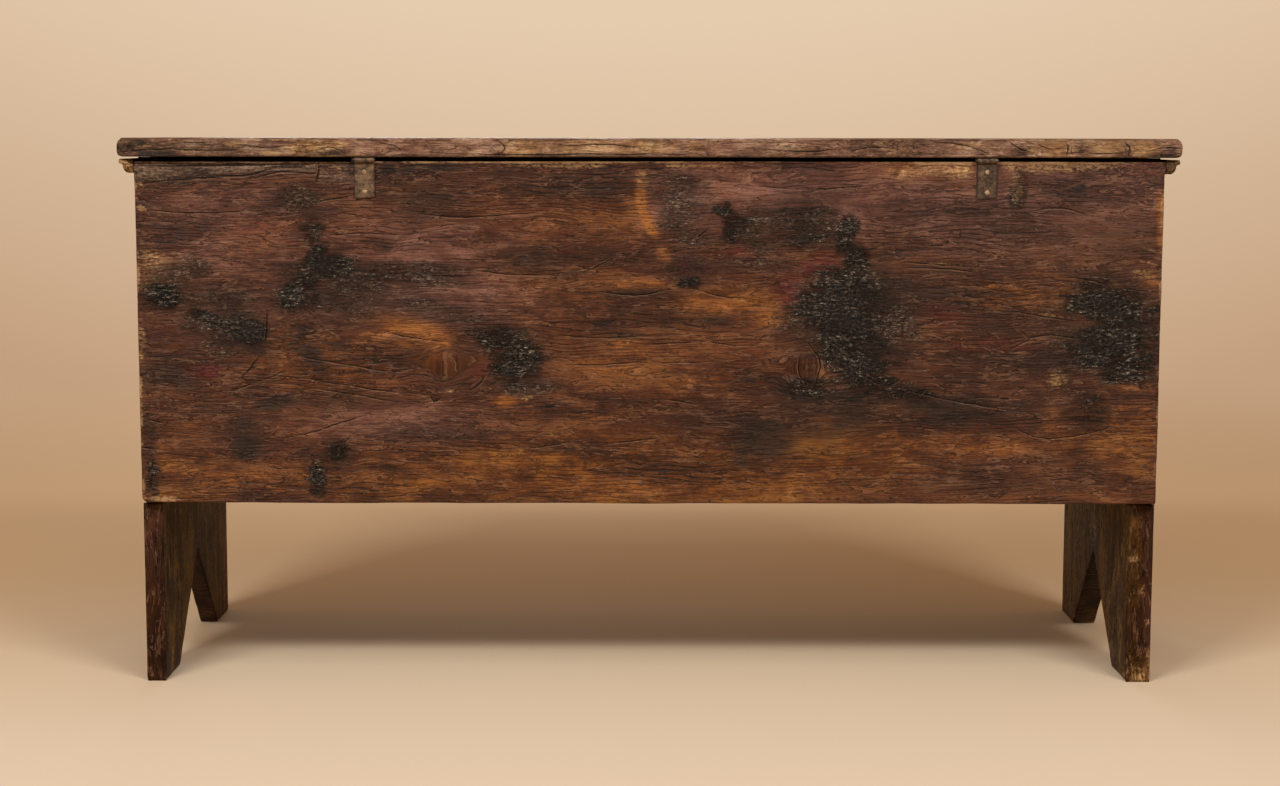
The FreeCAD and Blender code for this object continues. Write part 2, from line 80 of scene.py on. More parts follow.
def make_camera():
    data = bpy.data.cameras.new("camera")
    data.sensor_width = SENSOR_MM
    data.lens = SENSOR_MM * FOCAL_PIXELS / PHOTO_WIDTH
    data.clip_end = 100.0
    camera = bpy.data.objects.new("camera", data)
    right, up, forward = camera_axes()
    turn = Matrix((right, up, -forward)).transposed()
    camera.matrix_world = Matrix.Translation(CAMERA_PLACE) @ turn.to_4x4()
    bpy.context.scene.collection.objects.link(camera)
    bpy.context.scene.camera = camera


def paint(colour):
    """A display colour such as 6b3f28 as linear light. Any other colour is linear already."""
    if not isinstance(colour, str):
        return colour
    parts = [int(colour[k:k + 2], 16) / 255 for k in (0, 2, 4)]
    linear = [p / 12.92 if p <= 0.04045 else ((p + 0.055) / 1.055) ** 2.4 for p in parts]
    return (*linear, 1.0)


# Node trees

class Value:
    """A node's output, which can be added, subtracted and multiplied."""

    def __init__(self, nodes, socket):
        self.nodes = nodes
        self.socket = socket

    def __add__(self, other):
        return self.nodes.math("ADD", self, other)

    def __sub__(self, other):
        return self.nodes.math("SUBTRACT", self, other)

    def __rsub__(self, other):
        return self.nodes.math("SUBTRACT", other, self)

    def __mul__(self, other):
        return self.nodes.math("MULTIPLY", self, other)


class Nodes:
    """A short way to write the node tree of a material or a world."""

    def __init__(self, owner):
        owner.use_nodes = True
        self.owner = owner
        self.tree = owner.node_tree

    def fill(self, node, inputs):
        for key, value in inputs.items():
            if isinstance(value, Value):
                self.tree.links.new(value.socket, node.inputs[key])
            else:
                node.inputs[key].default_value = value

    def add(self, kind, inputs=(), output=0, **settings):
        node = self.tree.nodes.new(kind)
        for key, value in settings.items():
            setattr(node, key, value)
        self.fill(node, dict(inputs))
        return Value(self, node.outputs[output])

    def field(self, name):
        return self.add("ShaderNodeAttribute", output="Vector", attribute_name=name)

    def split(self, vector):
        parts = self.add("ShaderNodeSeparateXYZ", {"Vector": vector}).socket.node.outputs
        return [Value(self, part) for part in parts]

    def stretch(self, vector, along, across):
        return self.add("ShaderNodeVectorMath", {0: vector, 1: (along, across, across)}, operation="MULTIPLY")

    def math(self, operation, *values, clamp=False):
        return self.add("ShaderNodeMath", enumerate(values), operation=operation, use_clamp=clamp)

    def noise(self, vector, along, across, detail=3.0, roughness=0.55, distortion=0.0):
        inputs = {"Vector": self.stretch(vector, along, across), "Scale": 1.0, "Detail": detail,
                  "Roughness": roughness, "Distortion": distortion}
        return self.add("ShaderNodeTexNoise", inputs, "Fac")

    def step(self, value, low, high, start=0.0, end=1.0, curve="SMOOTHSTEP"):
        inputs = {"Value": value, "From Min": low, "From Max": high, "To Min": start, "To Max": end}
        return self.add("ShaderNodeMapRange", inputs, "Result", interpolation_type=curve)

    def near(self, value, place, width, full=0.0):
        """1 where the value is at the place, and 0 where it is further off than the width."""
        return self.step(self.math("ABSOLUTE", value - place), full, width, 1.0, 0.0)

    def ramp(self, value, places, colours):
        ramp = self.add("ShaderNodeValToRGB", {"Fac": value})
        elements = ramp.socket.node.color_ramp.elements
        while len(elements) < len(places):
            elements.new(1.0)
        for element, place, colour in zip(elements, places, colours):
            element.position = place
            element.color = paint(colour)
        return ramp

    def mix(self, share, first, second):
        """The first colour with a share of the second over it."""
        over = second if isinstance(second, Value) else paint(second)
        return self.add("ShaderNodeMix", {0: share, 6: first, 7: over}, 2, data_type="RGBA")

    def show(self, share, shader, other, output):
        """Sends a mix of two shaders to the output."""
        mixed = self.add("ShaderNodeMixShader", {0: share, 1: Value(self, shader.outputs[0]), 2: other})
        self.fill(self.tree.nodes[output], {"Surface": mixed})

    def finish(self, colour, roughness, height, **constants):
        bump = self.add("ShaderNodeBump", {"Height": height, "Distance": 1.0, "Strength": 1.0}, "Normal")
        inputs = {"Base Color": colour, "Roughness": roughness, "Normal": bump}
        self.fill(self.tree.nodes["Principled BSDF"], inputs | constants)
        return self.owner


# Studio

# The backdrop's low and high colours. They paint shade: the backdrop darkens towards the horizon and towards
# the sides.
BACKDROP = ("c29f7e", "e6ccae")
BACKDROP_SLOPES = (-0.15, 0.05)
BACKDROP_SIDE_FALL = 0.7
ROOM = {"Color": (1.0, 0.55, 0.24, 1.0), "Strength": 0.31}
FLOOR_RADIUS = 3.6
FLOOR_CORNERS = 96
FLOOR_FADE_START = 0.9
# The floor's tint far from and near the photograph's camera, and where on Y each is reached. The
# darker, warmer far tint is painted shade: the light's fall with distance and the warm shadow behind the
# chest.
FLOOR_TINTS = ((0.66, 0.50, 0.325, 1.0), (0.715, 0.625, 0.505, 1.0))
FLOOR_TINT_PLACES = (-0.45, 0.5)
FLOOR_PAPER = {"Roughness": 0.9, "Specular IOR Level": 0.2}
WARM_WHITE = (1.0, 0.95, 0.88)
# Each softbox: name, place, target, width, height, watts
SOFTBOXES = [
    ("overhead_softbox", (0.0, 1.5, 2.6), (0.0, 0.2, 0.3), 1.9, 0.6, 12.0),
    ("key_softbox", (1.35, 2.4, 2.6), (0.0, 0.2, 0.3), 1.2, 0.5, 57.0),
    ("fill_softbox", (-1.45, 2.4, 2.6), (0.0, 0.2, 0.3), 1.2, 0.5, 50.0),
    ("front_softbox", (0.4, -3.6, 1.1), (0.0, -0.2, 0.5), 1.6, 1.0, 30.0),
]


def softbox(name, place, target, width, height, watts):
    data = bpy.data.lights.new(name, "AREA")
    data.shape = "RECTANGLE"
    data.size = width
    data.size_y = height
    data.energy = watts
    data.color = WARM_WHITE
    light = bpy.data.objects.new(name, data)
    light.location = place
    light.rotation_euler = (Vector(target) - Vector(place)).to_track_quat("-Z", "Y").to_euler()
    bpy.context.scene.collection.objects.link(light)


def make_world():
    """A dim warm room that lights the chest, seen as a pale backdrop."""
    world = bpy.data.worlds.new("studio")
    bpy.context.scene.world = world
    n = Nodes(world)
    room = n.tree.nodes["Background"]
    n.fill(room, ROOM)
    x, y, z = n.split(n.add("ShaderNodeTexCoord", output="Generated"))
    # Painted shade: lower and further to the side is darker.
    height = n.math("MULTIPLY_ADD", x * x, -BACKDROP_SIDE_FALL, z)
    shade = n.ramp(n.step(height, *BACKDROP_SLOPES, curve="LINEAR"), (0.0, 1.0), BACKDROP)
    backdrop = n.add("ShaderNodeBackground", {"Color": shade})
    n.show(n.add("ShaderNodeLightPath", output="Is Camera Ray"), room, backdrop, "World Output")


def make_studio():
    bpy.context.scene.view_settings.view_transform = "Standard"
    make_world()
    for box in SOFTBOXES:
        softbox(*box)


def make_floor():
    """A round pale floor that fades into the backdrop far from the chest."""
    bpy.ops.mesh.primitive_circle_add(vertices=FLOOR_CORNERS, radius=FLOOR_RADIUS, fill_type="TRIFAN")
    floor = bpy.context.active_object
    floor.name = "floor"
    n = Nodes(bpy.data.materials.new("floor"))
    place = n.add("ShaderNodeTexCoord", output="Object")
    # Painted shade: the floor grows darker and warmer away from the camera.
    nearness = n.step(n.split(place)[1], *FLOOR_TINT_PLACES, curve="LINEAR")
    paper = n.tree.nodes["Principled BSDF"]
    n.fill(paper, {"Base Color": n.ramp(nearness, (0.0, 1.0), FLOOR_TINTS), **FLOOR_PAPER})
    away = n.add("ShaderNodeVectorMath", {0: place}, "Value", operation="LENGTH")
    fade = n.step(away, FLOOR_FADE_START, FLOOR_RADIUS)
    n.show(fade, paper, n.add("ShaderNodeBsdfTransparent"), "Material Output")
    floor.data.materials.append(n.owner)


# Noise, repeatable and without any library

def cell_values(cells, seed):
    """A repeatable value from 0 to 1 for each whole-numbered cell."""
    mixed = (cells[:, 0] * 73856093) ^ (cells[:, 1] * 19349663) ^ (cells[:, 2] * 83492791)
    mixed = (mixed ^ (seed * 668265263)) & 0xFFFFFFFF
    mixed = ((mixed ^ (mixed >> 15)) * 2246822519) & 0xFFFFFFFF
    mixed = ((mixed ^ (mixed >> 13)) * 3266489917) & 0xFFFFFFFF
    return (mixed ^ (mixed >> 16)) / 0xFFFFFFFF


def value_noise(points, seed):
    """Smooth noise from -1 to 1 at points, an array of rows of three."""
    base = np.floor(points).astype(np.int64)
    part = points - base
    ease = part * part * (3 - 2 * part)
    total = np.zeros(len(points))
    for corner in itertools.product((0, 1), repeat=3):
        share = np.where(np.array(corner) == 1, ease, 1 - ease).prod(axis=1)
        total += share * cell_values(base + np.array(corner), seed)
    return total * 2 - 1


def noise(points, per_metre, seed, layers=2):
    """Layered noise. per_metre gives the number of waves in a metre along each axis."""
    total = np.zeros(len(points))
    reach = 0.0
    for layer in range(layers):
        total += value_noise(points * np.array(per_metre) * 2 ** layer, seed + layer) / 2 ** layer
        reach += 1 / 2 ** layer
    return total / reach


def smooth_step(low, high, values):
    share = np.clip((values - low) / (high - low), 0, 1)
    return share * share * (3 - 2 * share)


# Marks and cracks, in the flat coordinates of the face that carries them

def blot(across, up, spot, rough, inner=0.3, outer=1.45):
    """How strongly one spot covers each point: x, y, half width, half height, strength and tilt."""
    x, y, half_width, half_height, strength, *tilt = spot
    angle = math.radians(tilt[0]) if tilt else 0.0
    along = (across - x) * math.cos(angle) + (up - y) * math.sin(angle)
    aside = (up - y) * math.cos(angle) - (across - x) * math.sin(angle)
    reach = np.hypot(along / half_width, aside / half_height) + rough
    return strength * (1 - smooth_step(inner, outer, reach))


def blots(across, up, spots, rough, inner=0.3, outer=1.45):
    """The strongest of several spots at each point."""
    cover = np.zeros(len(across))
    for spot in spots:
        cover = np.maximum(cover, blot(across, up, spot, rough, inner, outer))
    return cover


def eased(line):
    """A line with its corners cut, so that it bends rather than turns."""
    cut = [line[0]]
    for (x0, y0), (x1, y1) in zip(line, line[1:]):
        cut += [(x0 * 0.75 + x1 * 0.25, y0 * 0.75 + y1 * 0.25),
                (x0 * 0.25 + x1 * 0.75, y0 * 0.25 + y1 * 0.75)]
    return [*cut, line[-1]]


def crack_field(across, up, lines, reach):
    """The signed distance from the nearest line and the strength there, which fades at reach."""
    nearest = np.full(len(across), 2 * reach)
    signed = np.full(len(across), reach)
    strength = np.zeros(len(across))
    for line in map(eased, lines):
        low, high = np.min(line, axis=0) - reach, np.max(line, axis=0) + reach
        near = np.flatnonzero((across > low[0]) & (across < high[0]) & (up > low[1]) & (up < high[1]))
        total = len(line) - 1
        for index in range(total):
            (x0, y0), (x1, y1) = line[index], line[index + 1]
            length = math.hypot(x1 - x0, y1 - y0)
            dx, dy = (x1 - x0) / length, (y1 - y0) / length
            ahead = (across[near] - x0) * dx + (up[near] - y0) * dy
            aside = (up[near] - y0) * dx - (across[near] - x0) * dy
            held = np.clip(ahead, 0, length)
            away = np.hypot(ahead - held, aside)
            closer = away < nearest[near]
            chosen = near[closer]
            nearest[chosen] = away[closer]
            signed[chosen] = (away * np.sign(aside))[closer]
            taper = np.sin(np.pi * np.clip((index + held / length) / total, 0.04, 0.96)) ** 0.5
            strength[chosen] = taper[closer]
    strength = strength * (1 - smooth_step(reach * 0.5, reach, nearest))
    return np.clip(signed, -reach, reach), strength


# Solid wood from grids

EDGE_STEPS = (0.8 * MM, 1.3 * MM, 1.7 * MM)
LEVEL_STEP = 3.2 * MM
WAVE_REACH = 14 * MM


def stack(*parts):
    """Values or points side by side, a row for each point."""
    return np.column_stack(parts)


def grid_lines(low, high, step, multiple=1):
    """Places from low to high, closer together near both ends, in a multiple of steps."""
    steps = np.cumsum(EDGE_STEPS)
    count = round((high - low - 2 * steps[-1]) / step) + 2 * len(steps)
    count += -count % multiple
    inner = np.linspace(low + steps[-1], high - steps[-1], count - 2 * len(steps) + 1)
    return np.concatenate([[low], low + steps[:-1], inner, (high - steps[:-1])[::-1], [high]])


def flat_grid(along, across):
    """The points and squares of a rectangular grid, counter-clockwise."""
    points = np.array([(a, b) for a in along for b in across])
    rows = len(across)
    squares = [(i * rows + j, (i + 1) * rows + j, (i + 1) * rows + j + 1, i * rows + j + 1)
               for i in range(len(along) - 1) for j in range(rows - 1)]
    return points, squares


def grid_rim(columns, rows):
    """The outer loop of a grid's points, counter-clockwise."""
    bottom = [i * rows for i in range(columns)]
    right = [(columns - 1) * rows + j for j in range(1, rows)]
    top = [i * rows + rows - 1 for i in range(columns - 2, -1, -1)]
    left = list(range(rows - 2, 0, -1))
    return bottom + right + top + left


def show_and_edges(flat, squares, rim, edges, levels):
    """The show face of a slab, and a row of its rim at each level between the faces. Gives the points,
    the faces, the last row's point for each corner of the rim, and how many points there are."""
    points = [stack(flat, np.zeros(len(flat)))]
    faces = list(squares)
    upper = {corner: corner for corner in rim}
    start = len(flat)
    for level in levels[1:-1]:
        lower = {corner: start + k for k, corner in enumerate(rim)}
        points.append(stack(flat[rim], np.full(len(rim), level)))
        faces += [(upper[b], upper[a], lower[a], lower[b]) for a, b in edges]
        upper = lower
        start += len(rim)
    return points, faces, upper, start


def rectangle_slab(along, across, levels, coarse):
    """A board's skin: a fine show face, edges with rows at the levels, and a coarser hidden face.
    Points are (along, across, depth below the show face)."""
    rim = grid_rim(len(along), len(across))
    edges = list(zip([rim[-1], *rim], rim))
    points, faces, upper, start = show_and_edges(*flat_grid(along, across), rim, edges, levels)
    loop = [upper[corner] for corner in rim]
    back, back_faces = flat_grid(along[::coarse], across[::coarse])
    points.append(stack(back, np.full(len(back), levels[-1])))
    back_rim = [start + k for k in grid_rim(len(along[::coarse]), len(across[::coarse]))]
    for k in range(len(back_rim)):
        fine = [loop[(k * coarse + step) % len(loop)] for step in range(coarse, -1, -1)]
        faces.append((*fine, back_rim[k], back_rim[(k + 1) % len(back_rim)]))
    faces += [tuple(start + corner for corner in reversed(face)) for face in back_faces]
    return np.concatenate(points), faces


def outline_slab(flat, squares, levels):
    """The same for a face of any outline, with the hidden face as fine as the show face."""
    directed = {(face[k], face[(k + 1) % 4]) for face in squares for k in range(4)}
    edges = sorted((a, b) for a, b in directed if (b, a) not in directed)
    rim = sorted({corner for edge in edges for corner in edge})
    points, faces, upper, start = show_and_edges(flat, squares, rim, edges, levels)
    points.append(stack(flat, np.full(len(flat), levels[-1])))
    faces += [(upper[b], upper[a], start + a, start + b) for a, b in edges]
    faces += [tuple(start + corner for corner in reversed(face)) for face in squares]
    return np.concatenate(points), faces


def rectangle_edge(points, low, high, corner_radius):
    """Rounds a rectangle's corners in its plane. Gives the moved points, how far each is from the
    outline, and the way in from there."""
    gap_low = points[:, :2] - low
    gap_high = high - points[:, :2]
    gap = np.minimum(gap_low, gap_high)
    way = np.where(gap_low < gap_high, 1.0, -1.0)
    reach = np.maximum(np.broadcast_to(corner_radius, len(points))[:, None] - gap, 0)
    length = np.maximum(np.hypot(reach[:, 0], reach[:, 1]), 1e-9)
    in_corner = (reach[:, 0] > 0) & (reach[:, 1] > 0)
    drawn = reach * (reach.max(axis=1) / length)[:, None]
    moved = points.copy()
    moved[:, :2] += np.where(in_corner[:, None], (reach - drawn) * way, 0)
    nearer = (gap[:, 0] < gap[:, 1])[:, None]
    straight = np.where(nearer, np.array([1.0, 0.0]), np.array([0.0, 1.0])) * way
    inward = np.where(in_corner[:, None], drawn / length[:, None] * way, straight)
    inward /= np.maximum(np.hypot(inward[:, 0], inward[:, 1]), 1e-9)[:, None]
    return moved, gap.min(axis=1), inward


def round_and_wear(points, gap, inward, thickness, radius, wave, dents):
    """Rounds a board's long edges and wears its faces. wave draws the outline in, and dents sink
    the surface. Everything moves inwards, so the board stays within its own box."""
    moved = points.copy()
    moved[:, :2] += inward * (wave * np.clip(1 - gap / WAVE_REACH, 0, 1))[:, None]
    near_show = points[:, 2] < thickness / 2
    depth = np.where(near_show, points[:, 2], thickness - points[:, 2])
    way = np.where(near_show, 1.0, -1.0)
    out = stack(radius - gap, radius - depth)
    rounded = (out > 0).all(axis=1)
    size = np.maximum(np.hypot(out[:, 0], out[:, 1]), 1e-9)
    shift = np.where(rounded[:, None], out * (1 - radius / size)[:, None], 0)
    moved[:, :2] += inward * shift[:, :1]
    moved[:, 2] += way * shift[:, 1]
    facing = np.where(rounded[:, None], out / size[:, None],
                      np.where((depth <= 0)[:, None], np.array([0.0, 1.0]), np.array([1.0, 0.0])))
    moved[:, :2] += inward * (facing[:, 0] * dents)[:, None]
    moved[:, 2] += way * facing[:, 1] * dents
    return moved


def make_piece(name, vertices, faces, fields, material, body, nodes):
    """One mesh piece with its point fields, which rides on a body and stands for CAD nodes."""
    mesh = bpy.data.meshes.new(name)
    mesh.from_pydata(vertices.tolist(), [], faces)
    for field, values in fields.items():
        layer = mesh.attributes.new(field, "FLOAT_VECTOR", "POINT")
        layer.data.foreach_set("vector", np.ascontiguousarray(values, dtype=np.float32).ravel())
    shell = bmesh.new()
    shell.from_mesh(mesh)
    if shell.calc_volume(signed=True) < 0:
        bmesh.ops.reverse_faces(shell, faces=shell.faces[:])
    shell.to_mesh(mesh)
    shell.free()
    mesh.shade_smooth()
    mesh.materials.append(material)
    piece = bpy.data.objects.new(name, mesh)
    bpy.context.scene.collection.objects.link(piece)
    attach(piece, body)
    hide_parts(*nodes)
    return piece


# Materials

# Where the dark, middle and light tones of a ramp stand
TONES = (0.08, 0.48, 0.92)
WIDE_TONES = (0.05, 0.5, 0.95)
RING_WIDTH = 4.6 * MM


def old_oak(name, dark, middle, light, raw=("1c120a", "543d25", "6b5338"), polish=0.40, lively=1.0,
            shine=0.22, golden=("240f04", "643710", "a06b2c"), pinkish=("2a1916", "66423a", "9f766b")):
    """Old stained oak. Its fields are grain (along, across, through, in metres), tones (orange, red,
    purple), marks (char, scaly grey, stain), worn (pale rub marks and some painted glints, ochre, raw),
    zones (broad and soft: gold, pink, shade) and two crack fields."""
    n = Nodes(bpy.data.materials.new(name))
    grain = n.field("grain")
    orange, red, purple = n.split(n.field("tones"))
    char, scaly, stain = n.split(n.field("marks"))
    wear_and_glints, ochre, bare = n.split(n.field("worn"))
    gold, pink, shade = n.split(n.field("zones"))

    broad = n.noise(grain, 4.5, 19.0, 4.0, 0.6, 0.6)
    patch = n.noise(grain, 24.0, 50.0, 5.0, 0.65, 0.9)
    streak = n.noise(grain, 12.0, 140.0, 4.0, 0.62, 0.7)
    fine = n.noise(grain, 26.0, 400.0, 3.0, 0.65, 0.6)
    fibre = n.noise(grain, 80.0, 1100.0, 2.0, 0.7)
    speckle = n.noise(grain, 210.0, 350.0, 4.0, 0.7)
    wrinkle = n.noise(grain, 19.0, 115.0, 5.0, 0.62, 1.3)
    across = n.split(grain)[1]
    wander = n.noise(grain, 6.0, 30.0, 2.0) * 0.03 + patch * 0.004
    ring = n.math("SINE", (across + wander) * (2 * math.pi / RING_WIDTH))
    late = n.step(ring, 0.35, 1.0) * n.step(n.noise(grain, 5.0, 20.0, 2.0), 0.42, 0.62)

    def off_centre(value, amount):
        return (value - 0.5) * amount

    def torn(mask, amount=0.6):
        """The mask broken up by the grain, but only where there is some of it."""
        ragged = (off_centre(patch, amount) + off_centre(streak, amount) + off_centre(fine, amount)
                  + off_centre(speckle, amount * 0.7))
        return n.step(mask + ragged * n.step(mask, 0.0, 0.35), 0.0, 1.0)

    def soft(mask):
        return n.math("ADD", mask, mask * off_centre((patch + broad) * 0.5, 3.0), clamp=True)

    tone = (off_centre(broad, 1.6) + off_centre(patch, 0.95 * lively) + off_centre(streak, 0.12)
            + off_centre(fine, 0.46 * lively) + off_centre(fibre, 0.5) + off_centre(speckle, 0.5 * lively)
            + (0.54 - late * 0.26))
    grainy = tone * 0.45 + speckle * 0.55
    flaked = n.step(speckle + wear_and_glints * 0.45, 0.62, 0.78)
    grooved = n.step(patch, 0.34, 0.56) * n.step(wear_and_glints, 0.9, 0.3)
    groove = n.near(wrinkle, 0.5, 0.024) * grooved
    # Thin pale lines beside the grooves, painted as highlights.
    painted_ridge_highlight = n.near(wrinkle, 0.545, 0.03)
    scaled = torn(scaly, 1.1)
    burnt = n.step(torn(char, 1.1), 0.04, 0.92)
    crust = n.math("MAXIMUM", burnt, scaled, clamp=True) * (1.0 - bare)
    # Thin pale lines over the charred and scaly crust are painted highlights; the same noise also raises the
    # crust's bumps.
    glints = n.noise(grain, 85.0, 380.0, 3.0, 0.6, 1.0)
    painted_glint = n.near(glints, 0.54, 0.032, 0.005) * n.step(speckle, 0.42, 0.56) * n.step(patch, 0.40, 0.62, 0.3)

    # Each coat over the last: its share, and its colour or the ramp that gives it
    coats = [
        (soft(gold), tone, TONES, golden),
        (soft(pink), tone, TONES, pinkish),
        # Darker zones; on the rear edges of the lid and of the legs some of them are painted shade and shadow.
        (soft(shade), tone, TONES, ("0a0504", "28140c", "4e2d1a")),
        (torn(orange, 1.0), tone + orange * 0.16, (0.05, 0.48, 0.95), ("2e1a0e", "6a3d1e", "a0652c")),
        (torn(red), tone, WIDE_TONES, ("1c0a07", "521f18", "64281f")),
        (torn(purple) * 0.8, tone, WIDE_TONES, ("150c0a", "432a22", "6e4b3e")),
        # Pale flecks of wear; where its marks are thin strokes, they are painted glints.
        (n.step(wear_and_glints, 0.0, 0.6) * flaked, patch, (0.35, 0.65), ("6a4a2e", "b08e68")),
        (torn(ochre, 1.2), grainy, (0.36, 0.46, 0.57, 0.69), ("2e1e12", "7a5936", "b08c5c", "dabb8e")),
        (bare * 0.9, grainy, (0.38, 0.5, 0.62), raw),
        # Painted highlights beside the grooves.
        (painted_ridge_highlight * grooved * 0.30, "a07c62"),
        (groove * 0.75, "150d0a"),
        # The grey of scaly, splintered wood: partly the wood's own grey, partly painted sheen.
        (scaled * 0.65, grainy, (0.38, 0.6), ("1a1210", "4a3a32")),
        (torn(stain, 0.8) * 0.85, tone, (0.2, 0.9), ("120d0a", "35261c")),
        # Charred wood, near black; its palest speckles are painted sparkle highlights.
        (burnt * 0.92, speckle, (0.42, 0.57, 0.69), ("060404", "1a1512", "5c5046")),
        # Painted highlights: pale glint lines over the crust.
        (painted_glint * crust * 0.85, patch, (0.4, 0.6), ("66584c", "cabbaa")),
    ]
    cracked = []
    for field in ("crack_a", "crack_b"):
        signed, strength, sure = n.split(n.field(field))
        shaken = signed + off_centre(speckle, 1.6 * MM) + off_centre(patch, 5.0 * MM)
        broken = strength * n.math("MAXIMUM", n.step(streak, 0.34, 0.50), sure)
        thin = n.math("ABSOLUTE", shaken) - sure * (0.5 * MM)
        cracked.append(n.step(thin, 0.1 * MM, 0.9 * MM, 1.0, 0.0) * broken)
        # A pale line beside each crack: a painted highlight on its lip.
        coats.append((n.near(shaken, 1.2 * MM, 0.9 * MM) * broken * 0.42, "94735a"))
    cracked = n.math("MAXIMUM", *cracked)
    crazing = n.add("ShaderNodeTexVoronoi", {"Vector": n.stretch(grain, 120.0, 260.0), "Scale": 1.0},
                    "Distance", feature="DISTANCE_TO_EDGE")
    scales = n.step(crazing + off_centre(speckle, 0.5), 0.0, 0.3)
    coats += [(cracked * 0.95, "090605"), ((1.0 - scales) * (crust * 0.6), "070505")]

    colour = n.ramp(tone, (0.08, 0.47, 0.92), (dark, middle, light))
    for share, *coat in coats:
        colour = n.mix(share, colour, coat[0] if len(coat) == 1 else n.ramp(*coat))
    height = (fibre * 0.0003 + fine * 0.0010 + streak * 0.0008 + speckle * 0.0004 + scales * crust * 0.0008
              + glints * crust * 0.0030 - late * 0.0005 - groove * 0.0007 - cracked * 0.0016)
    roughness = patch * 0.3 + (polish - 0.15) - crust * 0.14 + bare * 0.2
    return n.finish(colour, roughness, height, **{"Specular IOR Level": shine})


def wrought_iron(name, dark, middle, light):
    """Old iron under a brown patina, pitted and rubbed. Its field rubbed is dark where x is low."""
    n = Nodes(bpy.data.materials.new(name))
    place = n.add("ShaderNodeTexCoord", output="Object")
    rubbed = n.split(n.field("rubbed"))[0]
    pits = n.noise(place, 420.0, 420.0, 4.0, 0.7)
    cloud = n.noise(place, 110.0, 110.0)
    tone = pits * 0.7 + cloud * 0.6 + (rubbed - 0.9) * 0.25
    colour = n.ramp(tone, (0.40, 0.58, 0.80), (dark, middle, light))
    return n.finish(colour, n.step(cloud, 0.3, 0.7, 0.36, 0.6), pits * 0.0008 + cloud * 0.0008, Metallic=0.2)


LID_OAK = old_oak("lid_oak", "1c120c", "593a28", "94694a", ("26190f", "5a4028", "7d6244"),
                  lively=1.5, golden=("3c2514", "9c734a", "e6c294"), pinkish=("1e110c", "855f4d", "dab89e"))
BOARD_OAK = old_oak("board_oak", "120804", "452314", "704429", ("241a14", "6c5847", "a6907a"))
END_OAK = old_oak("end_oak", "130a02", "42250c", "704818", ("0e0802", "3c280a", "7e6220"), shine=0.08,
                  golden=("1e1204", "543a1a", "8f7038"))
BOTTOM_OAK = old_oak("bottom_oak", "33241a", "5a4230", "7b6146", polish=0.6)
MOULDING_OAK = old_oak("moulding_oak", "20150f", "4f3a28", "7c5f46", ("1c1410", "5f4e3f", "a08c76"))
HINGE_IRON = wrought_iron("hinge_iron", "1b130e", "443224", "785f46")
NAIL_IRON = wrought_iron("nail_iron", "1d1612", "3a2a20", "5b4534")
BRIGHT_NAIL_IRON = wrought_iron("bright_nail_iron", "4a3828", "8c7454", "c0a67e")


# Marks on the boards. A spot is x, y, half width, half height, strength and tilt. On the back, which
# the photograph shows, they are in its pixels, and elsewhere in millimetres, along the grain first.

